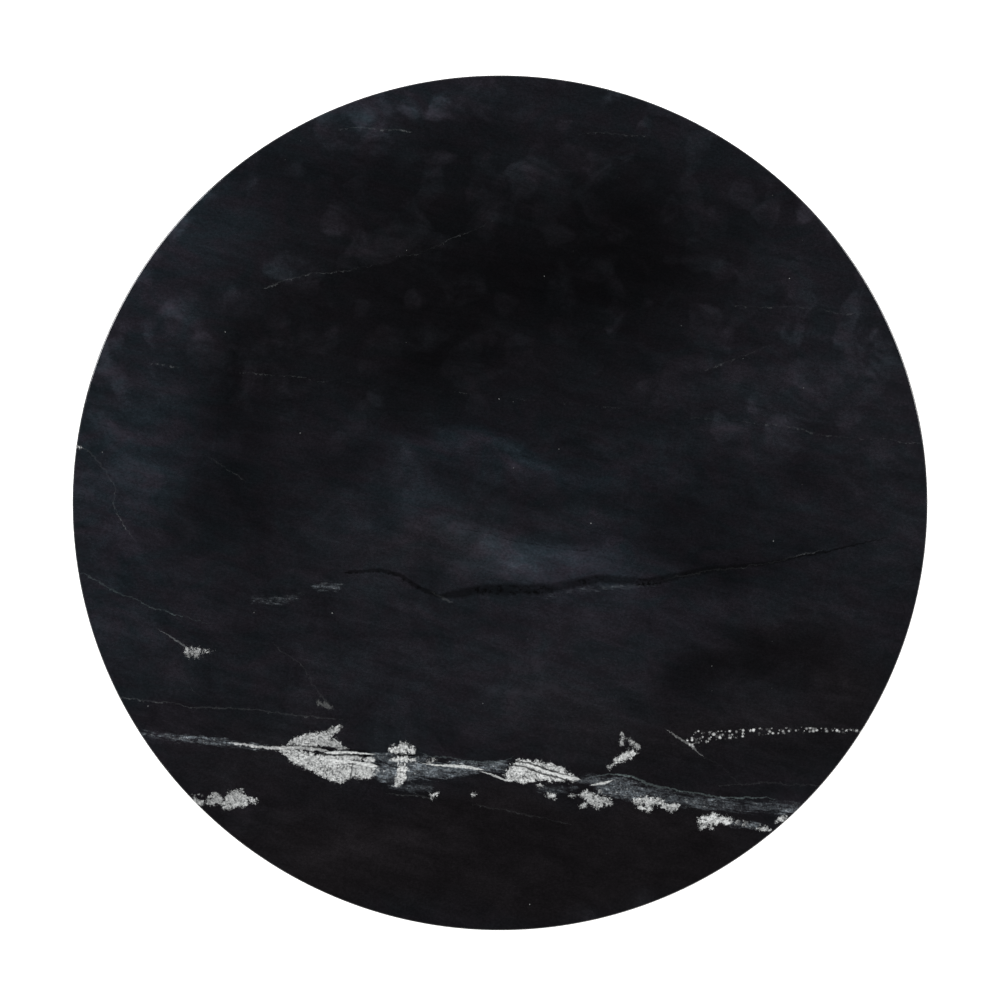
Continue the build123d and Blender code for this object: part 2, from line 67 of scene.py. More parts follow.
# ---- Sizes of the screws ----
ROD_RADIUS = 8 * MM
ROD_THREAD = 46 * MM
ROD_RUN_OUT = 46.5 * MM  # where the thread has run out into the shank
SHANK_RADIUS = 7.95 * MM
STUD_RADIUS = 5 * MM
STUD_FLATS = 15 * MM
NECK_RADIUS = 6 * MM
HEAD_RADIUS = 7.4 * MM
BREAK = 0.2 * MM  # the small chamfer that breaks a turned corner


# ---- The slab's pattern, in millimetres ----
# Thin veins: name, tone, strength, breaks from 0 to 1, then places along the vein as x, y and half width.
VEINS = (
    ("shear_line", "white", 0.85, 0.45, [
        (-388, -341, 0), (-366, -345, 1.8), (-342, -348, 1.6), (-315, -350, 2.4), (-285, -351, 2.4),
        (-252, -352, 1.8), (-242, -354, 0),
    ]),
    ("stripe_a_upper", "white", 0.95, 0.15, [
        (-251, -356, 0), (-242, -356, 1.8), (-214, -356, 1.6), (-184, -358, 0.8), (-177, -359, 0),
    ]),
    ("stripe_a_lower", "white", 0.95, 0.15, [
        (-257, -366, 0), (-235, -367, 1.6), (-207, -370, 2.0), (-180, -375, 2.2), (-173, -376, 0),
    ]),
    ("seam_a_upper", "dark", 0.9, 0.15, [
        (-291, -347, 0), (-271, -348, 0.8), (-252, -349, 1.0), (-244, -352, 1.0), (-221, -352, 0.8),
        (-191, -354, 0.8), (-184, -355, 0),
    ]),
    ("seam_a_lower", "dark", 0.95, 0.15, [
        (-285, -354, 0), (-264, -355, 1.1), (-250, -359, 1.7), (-221, -359, 1.6), (-185, -361, 1.4),
        (-177, -362, 0),
    ]),
    ("seam_a_gap", "dark", 0.9, 0.3, [
        (-212, -370, 0), (-211, -380, 1.6), (-213, -392, 1.2), (-212, -398, 0),
    ]),
    ("seam_b", "dark", 0.95, 0.15, [
        (-160, -358, 0), (-143, -359, 1.3), (-125, -360, 1.3), (-114, -359, 0),
    ]),
    ("fibre_upper", "teal", 0.3, 0.6, [
        (-117, -354, 0), (-98, -362, 0.8), (-71, -365, 0.8), (-44, -368, 0.9), (-19, -371, 0.9),
        (6, -369, 0.8), (20, -362, 0),
    ]),
    ("streak_mid", "white", 0.9, 0.15, [
        (-114, -370, 0), (-97, -374, 1.0), (-74, -375, 1.6), (-54, -376, 2.2), (-33, -379, 1.6),
        (-21, -381, 0),
    ]),
    ("streak_tail", "white", 0.7, 0.15, [(-31, -382, 0), (-14, -387, 1.2), (6, -395, 1.2), (14, -398, 0)]),
    ("seam_c_upper", "dark", 0.95, 0.15, [
        (14, -369, 0), (23, -369, 1.1), (41, -371, 1.3), (64, -379, 1.3), (90, -387, 1.2), (111, -392, 1),
        (117, -392, 0),
    ]),
    ("stripe_c", "white", 0.95, 0.15, [
        (29, -372, 0), (41, -374, 0.9), (64, -383, 1.6), (93, -390, 2.2), (111, -394, 2), (114, -395, 0),
    ]),
    ("seam_c_lower", "dark", 0.95, 0.15, [
        (14, -372, 0), (20, -374, 1.1), (38, -377, 1.3), (58, -386, 1.3), (81, -391, 1.2), (105, -398, 1),
        (114, -399, 0),
    ]),
    ("streak_d", "white", 0.85, 0.15, [
        (128, -403, 0), (138, -401, 1.6), (151, -399, 1.7), (163, -395, 0),
    ]),
    ("fibre_right", "teal", 0.4, 0.6, [
        (121, -394, 0), (143, -388, 0.8), (163, -386, 1), (193, -393, 1.1), (211, -401, 1.7),
        (230, -406, 1.5), (250, -409, 1), (282, -416, 1.2), (321, -419, 1.1), (364, -421, 1),
        (396, -424, 0),
    ]),
    ("crack_low", "grey", 0.1, 0.8, [
        (288, -359, 0), (302, -367, 0.7), (321, -382, 0.7), (339, -396, 0.7), (348, -402, 0),
    ]),
    ("line_low", "grey", 0.16, 0.8, [
        (302, -404, 0), (339, -400, 0.8), (392, -400, 0.8), (448, -403, 0.7), (465, -405, 0),
    ]),
    ("tail_i", "white", 0.3, 0.5, [
        (235, -322, 0), (254, -333, 1.4), (271, -344, 1.3), (285, -358, 1.0), (291, -362, 0),
    ]),
    ("hair_left", "grey", 0.2, 0.75, [
        (-559, -277, 0.8), (-543, -278, 0.8), (-461, -286, 0.8), (-439, -290, 0.7), (-411, -292, 1.2),
        (-385, -294, 0.9), (-357, -295, 0.8), (-308, -302, 0.7), (-247, -308, 0.7), (-211, -312, 0),
    ]),
    ("tail_k", "grey", 0.4, 0.4, [(-491, -177, 0), (-465, -195, 0.9), (-448, -206, 1.3), (-439, -212, 0)]),
    ("vein_l", "teal", 0.2, 0.75, [
        (-593, -101, 0.6), (-582, -107, 1), (-542, -128, 1), (-499, -150, 0.8), (-449, -163, 0.5),
        (-404, -175, 0),
    ]),
    ("crack_left", "grey", 0.22, 0.8, [
        (-619, 88, 1.2), (-603, 81, 1.5), (-590, 73, 1.5), (-578, 64, 1.1), (-560, 44, 0.8),
        (-549, 23, 0.8), (-552, -3, 0.6), (-532, -39, 0.6), (-515, -64, 0),
    ]),
    ("hair_upper_left", "grey", 0.1, 0.8, [
        (-424, 70, 0), (-406, 60, 0.6), (-366, 36, 0.6), (-361, 31, 0),
    ]),
    ("long_dotted", "grey", 0.13, 1.0, [
        (-533, 202, 0), (-499, 199, 0.9), (-459, 196, 1.2), (-436, 194, 0.5), (-285, 178, 0.5),
        (-143, 165, 0.4), (21, 151, 0.5), (143, 138, 0.4), (228, 128, 0.4), (292, 121, 1.1),
        (317, 120, 1.1), (345, 117, 0.6), (406, 110, 1.1), (471, 94, 0.7), (542, 93, 0.6), (607, 83, 0.6),
    ]),
    ("upper_diagonal", "grey", 0.17, 0.85, [
        (-342, 305, 0), (-331, 309, 0.8), (-299, 318, 0.8), (-264, 327, 0.7), (-214, 332, 0.7),
        (-190, 337, 0.2), (-114, 358, 0.2), (-86, 368, 0.4), (-50, 385, 0.3), (1, 406, 0),
    ]),
    ("top_line_left", "grey", 0.22, 0.9, [
        (-234, 530, 0), (-214, 533, 0.8), (-177, 533, 1.1), (-135, 530, 0.9), (-124, 529, 0),
    ]),
    ("top_line_right", "grey", 0.18, 0.9, [
        (103, 525, 0), (128, 525, 0.7), (154, 526, 1.0), (200, 523, 0.7), (217, 523, 0),
    ]),
    ("right_upper", "grey", 0.18, 0.95, [
        (325, 281, 0), (345, 279, 0.8), (378, 281, 1), (421, 278, 0.8), (492, 270, 0.9), (542, 270, 0.6),
        (559, 268, 0),
    ]),
    ("right_slant", "grey", 0.22, 0.95, [
        (282, 185, 0), (292, 190, 0.8), (321, 201, 1), (349, 212, 0.8), (374, 220, 0.5), (388, 225, 0),
    ]),
    ("dendrite", "grey", 0.15, 0.8, [
        (-328, -195, 0), (-309, -212, 0.7), (-284, -232, 0.8), (-268, -258, 0.7), (-250, -281, 0.9),
        (-241, -291, 0),
    ]),
    ("hair_low_left", "grey", 0.1, 0.8, [
        (-461, -240, 0), (-436, -267, 0.6), (-424, -277, 0.7), (-418, -281, 0),
    ]),
    ("seam_middle", "dark", 1.0, 0.4, [
        (-224, -100, 0), (-211, -98, 2.2), (-171, -96, 2.9), (-143, -103, 3.2), (-114, -121, 3.2),
        (-86, -134, 2.6), (-64, -130, 5.8), (-31, -125, 6.9), (4, -123, 7.8), (58, -124, 7.8),
        (100, -117, 7),
        (141, -108, 6.2), (214, -113, 6.2), (282, -98, 4.8), (337, -90, 3.4), (378, -87, 2.4),
        (449, -73, 1.6),
        (530, -54, 0.8), (559, -47, 0),
    ]),
    ("glint_middle", "grey", 0.3, 0.8, [
        (225, -111, 0), (254, -106, 1.1), (274, -102, 1.1), (292, -98, 0.6), (321, -94, 1.1),
        (342, -92, 0.8), (385, -86, 0.6), (414, -79, 1), (449, -71, 1.1), (462, -67, 0),
    ]),
    ("spur_middle", "grey", 0.22, 0.6, [
        (-103, -125, 0), (-86, -134, 1.4), (-73, -141, 1.6), (-66, -143, 0),
    ]),
    ("thread_middle", "dark", 0.5, 0.5, [
        (-68, -33, 0), (-36, -40, 0.9), (29, -56, 0.9), (86, -66, 0.8), (143, -70, 0.6), (202, -76, 0),
    ]),
    ("thin_low_left", "grey", 0.16, 0.7, [
        (-164, -414, 0), (-154, -415, 0.9), (-128, -418, 0.9), (-98, -420, 0.9), (-88, -421, 0),
    ]),
    ("thin_low_right", "grey", 0.13, 0.8, [
        (-40, -429, 0), (-29, -432, 0.7), (29, -443, 0.8), (90, -456, 0.7), (107, -459, 0),
    ]),
)
# Granular patches: whiteness, then places along the patch as x, y and half width.
GRAINS = (
    (0.72, [(-304, -345, 2), (-284, -340, 7), (-262, -337, 11), (-250, -339, 10)]),
    (0.66, [(-250, -342, 7), (-238, -343, 6.5), (-226, -348, 4), (-217, -352, 1.5)]),
    (0.7, [(-249, -332, 6), (-240, -327, 5), (-232, -322, 3.5), (-226, -319, 2.5)]),
    (0.78, [(-254, -362, 4), (-221, -362, 5), (-183, -366, 4)]),
    (0.82, [
        (-313, -352, 2), (-296, -360, 8), (-265, -370, 13), (-249, -377, 15), (-229, -383, 17),
        (-214, -382, 11), (-192, -383, 11), (-182, -381, 7),
    ]),
    (0.88, [(-155, -352, 4), (-140, -351, 9), (-123, -354, 4)]),
    (0.9, [(-153, -366, 3.5), (-137, -366, 4.5), (-121, -366, 3.5)]),
    (0.95, [(-138, -379, 6), (-141, -391, 8), (-147, -401, 4)]),
    (0.96, [(11, -388, 5), (29, -379, 13), (57, -382, 14), (86, -388, 9.5), (106, -394, 3.5)]),
    (1.05, [(11, -394, 3), (29, -394, 4), (50, -395, 4)]),
    (0.66, [(123, -416, 6), (131, -422, 9), (140, -428, 9)]),
    (0.62, [(147, -424, 6), (155, -428, 4.5)]),
    (0.8, [(117, -432, 4), (119, -432, 4)]),
    (0.6, [(144, -410, 3), (146, -410, 3)]),
    (0.85, [(194, -425, 4.5), (211, -425, 6), (228, -426, 4.5)]),
    (0.85, [(200, -435, 4), (214, -436, 4)]),
    (0.75, [(234, -432, 4), (244, -435, 5), (254, -432, 2.5)]),
    (1.05, [(288, -453, 5), (305, -451, 7.5), (325, -453, 5)]),
    (0.75, [(288, -461, 3.5), (302, -462, 3.5)]),
    (0.8, [(369, -463, 2.5), (379, -463, 4.5), (385, -466, 3)]),
    (0.8, [(395, -452, 3), (408, -449, 3)]),
    (0.5, [(337, -455, 2), (359, -462, 2)]),
    (0.6, [(174, -331, 2), (173, -344, 2.4)]),
    (0.55, [(187, -339, 2.5), (195, -348, 4.5)]),
    (0.95, [(188, -356, 4.5), (180, -362, 7), (168, -366, 3.5)]),
    (0.7, [(161, -372, 2), (153, -378, 2.2)]),
    (0.65, [(-391, -431, 6), (-379, -422, 12), (-365, -424, 8)]),
    (0.5, [(-415, -426, 5), (-404, -422, 8)]),
    (0.4, [(-438, -422, 3), (-428, -428, 3)]),
    (0.85, [(-354, -424, 4.5), (-352, -424, 4.5)]),
    (0.6, [(-369, -411, 2.6), (-367, -411, 2.6)]),
    (0.6, [(-445, -211, 5), (-428, -210, 3.5), (-412, -211, 1.5)]),
    (0.4, [(-445, -218, 3), (-425, -217, 2)]),
    (0.9, [(-98, -420, 2), (-87, -413, 1.8)]),
    (0.8, [(-39, -419, 1.6), (-36, -414, 1.4)]),
    (0.9, [(68, -416, 2.2), (78, -418, 2.2)]),
    (0.8, [(96, -418, 1.6), (104, -418, 1.6)]),
    (0.8, [(54, -402, 2), (58, -403, 2)]),
    (0.5, [(-101, -369, 3), (-91, -365, 3)]),
    (0.1, [(-260, -285, 3), (-241, -292, 3)]),
    (0.6, [(-600, 77, 2.5), (-598, 77, 2.5)]),
)
# Blue-grey fibrous fields along the band, in the same way.
FIBRES = (
    (0.55, [
        (-522, -327, 1), (-478, -333, 3), (-443, -336, 5), (-406, -340, 5), (-369, -345, 4),
        (-330, -349, 2),
    ]),
    (0.9, [(-180, -381, 8), (-165, -386, 13), (-151, -384, 9)]),
    (0.5, [(-183, -362, 5), (-160, -364, 6), (-140, -371, 5), (-108, -366, 5)]),
    (0.7, [(-131, -384, 12), (-108, -382, 10), (-86, -382, 11), (-57, -379, 10), (-31, -378, 7)]),
    (0.75, [(-26, -376, 6), (-6, -376, 8), (7, -376, 6)]),
    (0.3, [(-154, -401, 6), (-137, -406, 5), (-100, -406, 4)]),
    (0.35, [(111, -396, 4), (128, -394, 7), (148, -399, 9)]),
    (0.55, [(148, -405, 12), (168, -405, 16), (188, -411, 13), (208, -415, 9)]),
    (0.27, [
        (208, -414, 9), (242, -421, 10), (271, -426, 9), (302, -431, 9), (342, -432, 8), (382, -434, 7),
        (428, -434, 7),
    ]),
    (0.9, [(285, -424, 2.5), (302, -424, 3), (319, -424, 2)]),
    (0.7, [(396, -439, 5), (422, -435, 6)]),
    (0.6, [(325, -455, 4), (349, -459, 4), (371, -462, 3)]),
    (0.3, [(107, -405, 4), (86, -409, 4), (57, -408, 4)]),
    (0.3, [(-265, -118, 3), (-245, -122, 6), (-228, -118, 3)]),
    (0.16, [(-352, -138, 3), (-312, -140, 5), (-285, -132, 3)]),
    (0.16, [(60, -133, 2), (120, -122, 3), (180, -120, 3), (230, -114, 2)]),
)
# The line of separate white dots on the right, which widens into a fan at its inner end.
DOTS = (
    (0.9, [
        (268, -335, 3), (274, -339, 9), (285, -335, 11), (302, -332, 6), (332, -330, 5.5), (358, -327, 5),
        (391, -325, 4.2), (414, -324, 3.6), (456, -324, 3), (496, -325, 2.6), (522, -326, 2.4),
    ]),
    (0.6, [(-439, -421, 5), (-421, -424, 8), (-408, -424, 9)]),
)
# Soft clouds: x, y, reach along and across, turn in degrees, change in stops of light, and in warmth.
CLOUDS = (
    (-556, 4, 115, 270, 0, 0.55, -0.25),
    (-485, 304, 85, 115, 0, 0.45, -0.25),
    (-406, 461, 105, 85, 0, 0.45, -0.3),
    (-228, 582, 130, 55, 0, 0.45, -0.2),
    (-29, 589, 200, 50, 0, 0.3, -0.1),
    (-242, 475, 155, 55, 0, -0.45, 0),
    (29, 332, 230, 155, 0, -1.2, 0.25),
    (200, 361, 100, 100, 0, -0.68, 0.2),
    (-143, 247, 155, 130, 0, -0.75, 0.2),
    (-328, 232, 85, 85, 0, -0.45, 0.15),
    (114, 289, 85, 100, 0, -0.38, -0.05),
    (-385, 90, 80, 170, 0, -0.52, 0),
    (-342, -53, 100, 70, 0, -0.38, 0),
    (-492, 68, 70, 55, 0, 0.4, -0.2),
    (428, 218, 85, 100, 0, 0.4, -0.05),
    (271, 532, 100, 55, 0, 0.1, -0.1),
    (542, 61, 70, 215, 0, 0.35, 0.05),
    (371, 118, 85, 55, 0, 0.2, 0),
    (-43, 68, 155, 45, -8, 0.6, -0.3),
    (-143, 4, 85, 45, -8, 0.65, -0.2),
    (45, -84, 140, 38, -10, 1.05, -0.2),
    (20, 70, 165, 15, -12, 0.55, -0.3),
    (-40, -47, 200, 13, -9, 0.4, -0.1),
    (70, 14, 140, 11, -6, -0.5, 0),
    (-60, 105, 150, 12, -9, -0.35, 0),
    (110, -50, 120, 8, -13, -0.3, 0),
    (128, -81, 85, 50, 0, 0.5, -0.3),
    (-86, -60, 85, 35, 0, 0.45, 0.3),
    (200, 33, 85, 55, 0, 0.3, -0.1),
    (285, -24, 80, 65, 0, -0.52, 0),
    (349, -81, 100, 25, 8, -0.6, 0),
    (171, -153, 130, 35, 0, 0.25, -0.1),
    (399, -153, 100, 45, 0, 0.35, 0),
    (-228, -210, 155, 85, 0, 0.4, 0.05),
    (0, -224, 155, 85, 0, 0.45, 0.05),
    (100, -281, 130, 55, 0, 0.45, 0.1),
    (321, -231, 80, 40, 0, -0.83, 0.3),
    (414, -210, 85, 45, 0, -0.15, 0.35),
    (485, -267, 70, 70, 0, -0.08, 0.5),
    (285, -338, 230, 55, 0, 0.1, 0.55),
    (-399, 80, 42, 85, 0, -0.6, 0),
    (-485, -75, 70, 40, 0, -0.5, 0),
    (-575, 80, 42, 60, 0, -0.4, 0),
    (-485, 289, 42, 42, 0, -0.4, 0),
    (-314, 290, 55, 75, 0, -0.3, 0),
    (-228, 76, 55, 45, 0, -0.4, 0),
    (371, 400, 55, 55, 0, -0.35, 0),
    (330, 215, 75, 45, 0, -0.3, 0),
    (500, 150, 55, 60, 0, -0.3, 0),
    (-100, 215, 75, 42, 0, -0.3, 0),
    (-85, 345, 60, 48, 0, 0.3, 0),
    (100, -260, 100, 50, 0, 0.2, 0),
    (-85, -490, 120, 50, 0, 0.25, 0),
    (-371, -366, 155, 70, 0, 0.05, 0.4),
    (-143, -495, 340, 85, 0, -0.08, 0.75),
    (143, -509, 285, 85, 0, -0.15, 0.8),
)


# The stone's patterns: how many times longer along than across, turn in degrees, size in millimetres, then
# the detail, roughness and distortion of their noise.
STONE_PATTERNS = {
    "drift": (3, -6, 160, 4, 0.5, 0.8),
    "smoke": (1.3, -10, 60, 6, 0.62, 0.9),
    "wisps": (6, -15, 16, 6, 0.62, 0.5),
    "crystal": (1.5, -8, 2.4, 3, 0.75, 0),
    "hue": (1.6, -8, 45, 5, 0.6, 1.2),
    "wander": (1, 0, 6, 4, 0.65, 0),
    "sway": (1, 0, 45, 3, 0.5, 0),
    "beads": (1, 0, 6, 3, 0.7, 0),
    "fade": (1, 0, 50, 2, 0.5, 0),
    "strand": (5, -8, 3.6, 5, 0.75, 0.5),
    "speckle": (1, 0, 2.4, 3, 0.8, 0),
    "crumble": (1, 0, 9, 6, 0.85, 0),
    "mottle": (1.2, -10, 12, 5, 0.75, 0.5),
    "pits": (1.3, -10, 3.0, 4, 0.7, 0),
}
# By how many stops of light each pattern swings the ground about its mean, and the clasts do.
GROUND_SWINGS = (("drift", 0.8), ("smoke", 1.6), ("wisps", 1.2), ("crystal", 2.0))
CLAST_SWING = 0.95
CLASTS_PER_METRE = 27
LUMPS_PER_METRE = 85
DOTS_PER_METRE = 210
SPECKS_PER_METRE = 46
# Where a pattern starts and stops to lighten the fibres and the calcite, and the least that it leaves.
FIBRE_SHARES = (("strand", 0.38, 0.66, 0.15), ("speckle", 0.38, 0.62, 0.15), ("mottle", 0.36, 0.6, 0.3))
CALCITE_SHARES = (("pits", 0.37, 0.48, 0.15), ("mottle", 0.34, 0.58, 0.6), ("speckle", 0.36, 0.62, 0.35))


# ---- Helpers ----
# Makes a Mix node mix colours: input 6 is the colour underneath, input 7 the one laid over it by the share
# in Factor, and output 2 the result.
COLORS = {"data_type": "RGBA"}


def linear(code):
    """The linear colour of an sRGB hex code such as #1b1b1f."""
    shares = [int(code[i : i + 2], 16) / 255 for i in (1, 3, 5)]
    return [s / 12.92 if s <= 0.04045 else ((s + 0.055) / 1.055) ** 2.4 for s in shares]


def add(tree, kind, settings, feeds):
    """Adds a shader node. settings are its own properties. feeds go to its inputs, by name or number: a
    node is linked by its first output, a socket by itself, and anything else is set as the input's
    value."""
    node = tree.nodes.new("ShaderNode" + kind)
    for name, value in settings.items():
        setattr(node, name, value)
    for key, value in feeds.items():
        source = value.outputs[0] if isinstance(value, bpy.types.Node) else value
        if isinstance(source, bpy.types.NodeSocket):
            tree.links.new(source, node.inputs[key])
        else:
            node.inputs[key].default_value = source
    return node


def new_material(name):
    """An empty material and its node tree."""
    material = bpy.data.materials.new(name)
    material.use_nodes = True
    material.node_tree.nodes.clear()
    return material, material.node_tree


def paint(names, material):
    """Gives CAD nodes a material in place of the plain one that they came with."""
    for name in names:
        for slot in frame["nodes"][name].material_slots:
            slot.material = material


def make_piece(name, surface, material, body, stands_for=None):
    """A mesh object that rides on a body. It may stand for one CAD node."""
    points, faces = surface
    mesh = bpy.data.meshes.new(name)
    mesh.from_pydata(points, [], faces)
    mesh.shade_smooth()
    mesh.set_sharp_from_angle(angle=math.radians(32))
    mesh.materials.append(material)
    piece = bpy.data.objects.new(name, mesh)
    bpy.context.scene.collection.objects.link(piece)
    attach(piece, body)
    if stands_for:
        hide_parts(stands_for)
    return piece


# ---- The slab ----
def slab_section(radius, low, high, arris, lower_arris):
    """The slab's section as radii and heights, from the middle of the top, over the arris, which is a
    quarter circle, down the edge, and back under it to the middle. Both ends are on the axis."""
    flat = radius - arris
    inner, outer = 0.32, 0.57  # most of the pale band lies between these radii, on one side
    over = np.radians(np.linspace(90, 0, 7))
    under = np.radians(np.linspace(0, -90, 5))
    radii = [
        [0],
        np.arange(0.01, inner, 0.01),
        np.arange(inner, outer, 0.0022),
        np.linspace(outer, flat, 16)[:-1],
        flat + arris * np.cos(over),
        [radius] * 4,
        radius - lower_arris + lower_arris * np.cos(under),
        np.linspace(radius - lower_arris, 0, 9)[1:],
    ]
    edge = np.linspace(high - arris, low + lower_arris, 6)[1:-1]
    heights = [
        np.full(len(radii[0]) + len(radii[1]) + len(radii[2]) + len(radii[3]), high),
        high - arris + arris * np.sin(over),
        edge,
        low + lower_arris + lower_arris * np.sin(under),
        np.full(len(radii[7]), low),
    ]
    return np.concatenate(radii), np.concatenate(heights)


def turned_surface(radii, heights, angles):
    """A closed surface about an upright axis: ring i stands at heights[i], and its radius is radii[i], one
    for all the angles or one for each. The first and last ring are points on the axis, and the first
    is on top."""
    radii = np.broadcast_to(radii.reshape(len(heights), -1), (len(heights), len(angles)))
    rings_z = np.repeat(heights[:, None], len(angles), axis=1)
    rings = np.stack([radii * np.cos(angles), radii * np.sin(angles), rings_z], axis=2)
    return closed_grid(rings[1:-1], rings[[0, -1], 0])


def closed_grid(rings, ends):
    """The points and faces of a closed surface: rings of points, each joined to the next by quads, and to
    an end point by triangles at both ends of the stack."""
    rows, count = rings.shape[:2]
    step = np.arange(count)
    after = (step + 1) % count
    row = np.arange(rows - 1)[:, None] * count
    corners = [row + step, row + count + step, row + count + after, row + after]
    quads = np.stack(corners, axis=2).reshape(-1, 4)
    first, last, final = rows * count, rows * count + 1, (rows - 1) * count
    top = np.stack([np.full(count, first), step, after], axis=1)
    bottom = np.stack([np.full(count, last), final + after, final + step], axis=1)
    points = np.concatenate([rings.reshape(-1, 3), ends])
    return points, quads.tolist() + top.tolist() + bottom.tolist()


def beside(stroke, plan):
    """How each point of the plan lies beside a stroke, which runs straight from place to place: the signed
    distance to it, positive on its left, and the stroke's half width at the nearest point of it."""
    places = np.array(stroke, dtype=float)
    start, run = places[:-1], np.diff(places, axis=0)
    gap = plan[:, None, :] - start[None, :, :2]
    share = np.clip((gap * run[:, :2]).sum(2) / (run[:, :2] ** 2).sum(1), 0, 1)
    offset = gap - share[..., None] * run[:, :2]
    distance = np.hypot(offset[..., 0], offset[..., 1])
    near = distance.argmin(1)
    row = np.arange(len(plan))
    side = np.sign(run[near, 0] * offset[row, near, 1] - run[near, 1] * offset[row, near, 0])
    return side * distance[row, near], start[near, 2] + share[row, near] * run[near, 2]


def deepest(strokes, plan):
    """How deep each point of the plan is inside the nearest of some strokes, in millimetres and negative
    outside, and the weight of that stroke."""
    depths = []
    for _, stroke in strokes:
        distance, half_width = beside(stroke, plan)
        depths.append(half_width - np.abs(distance))
    depths = np.array(depths)
    weights = np.array([weight for weight, _ in strokes])
    return depths.max(0), weights[depths.argmax(0)]


def cloud_fields(plan):
    """Sums of soft spots, each its change times exp(-(u/reach)^2 - (v/reach)^2) in its own turned frame,
    seen through a plan that waves of two lengths push to and fro, so that no spot is a plain
    ellipse."""
    light = np.zeros(len(plan))
    warmth = np.zeros(len(plan))
    x, y = plan.T
    push_x = 18 * np.sin(y / 41 + x / 97) + 9 * np.sin(y / 17 - x / 29)
    push_y = 14 * np.sin(x / 47 - y / 83) + 7 * np.sin(x / 21 + y / 15)
    plan = plan + np.stack([push_x, push_y], axis=1)
    for x, y, along, across, turn, stops, warm in CLOUDS:
        gap = plan - (x, y)
        cos, sin = math.cos(math.radians(turn)), math.sin(math.radians(turn))
        u = (gap[:, 0] * cos + gap[:, 1] * sin) / along
        v = (gap[:, 1] * cos - gap[:, 0] * sin) / across
        spot = np.exp(-(u**2) - v**2)
        light += stops * spot
        warmth += warm * spot
    return light, warmth


def store(mesh, name, values):
    """Keeps a number, or three of them, for each of a mesh's points."""
    kind, key = ("FLOAT", "value") if values.ndim == 1 else ("FLOAT_VECTOR", "vector")
    field = mesh.attributes.new(name, kind, "POINT")
    field.data.foreach_set(key, values.astype(np.float32).ravel())


def slab_mesh_fields(mesh, plan):
    """Stores on the slab's mesh where its clouds, veins and patches are, all in millimetres."""
    light, warmth = cloud_fields(plan)
    store(mesh, "light", light)
    store(mesh, "warmth", warmth)
    for name, _, _, _, stroke in VEINS:
        distance, half_width = beside(stroke, plan)
        store(mesh, name, np.stack([distance, half_width, np.zeros(len(plan))], axis=1))
    for name, strokes in (("grain", GRAINS), ("fibre", FIBRES), ("dots", DOTS)):
        depth, weight = deepest(strokes, plan)
        store(mesh, name, np.stack([depth, weight, np.zeros(len(plan))], axis=1))


# ---- Materials ----
def black_marble(settings):
    """Black marble, sawn and polished. To the eye it is near black with drifts of slate blue and brown,
    crossed by a sheared band of white calcite grains and blue-grey fibres, and by hairline veins. The
    polish gives it a clear, dark reflection."""
    material, tree = new_material("polished_black_marble")
    place = add(tree, "TexCoord", {}, {}).outputs["Object"]
    fields = {}
    for name, (stretch, turn, size, detail, roughness, distortion) in STONE_PATTERNS.items():
        lie = {"Vector": place, "Rotation": (0, 0, math.radians(turn)), "Scale": (stretch, 1, 1)}
        along = add(tree, "Mapping", {"vector_type": "TEXTURE"}, lie)
        shape = {"Scale": 1 / (size * MM), "Detail": detail, "Roughness": roughness}
        feeds = {"Vector": along, **shape, "Distortion": distortion}
        fields[name] = add(tree, "TexNoise", {}, feeds).outputs[0]

    fields["bend"] = add(tree, "TexNoise", {}, {"Vector": place, "Scale": 30, "Detail": 3}).outputs["Color"]
    color = stone_ground(tree, place, fields, settings)
    color = fibre_layer(tree, color, fields, settings)
    for tone in ("grey", "teal"):
        color = vein_layer(tree, color, tone, fields, settings)
    color = calcite_layer(tree, color, place, fields, settings)
    color = dot_layer(tree, color, place, fields, settings)
    for tone in ("dark", "white"):
        color = vein_layer(tree, color, tone, fields, settings)
    color = speck_layer(tree, color, place, settings)

    gloss = add(tree, "MapRange", {}, {"Value": fields["smoke"], "To Min": 0.1, "To Max": 0.2})
    shader = add(tree, "BsdfPrincipled", {}, {"Base Color": color, "Roughness": gloss, "IOR": 1.5})
    add(tree, "OutputMaterial", {}, {"Surface": shader})
    return material


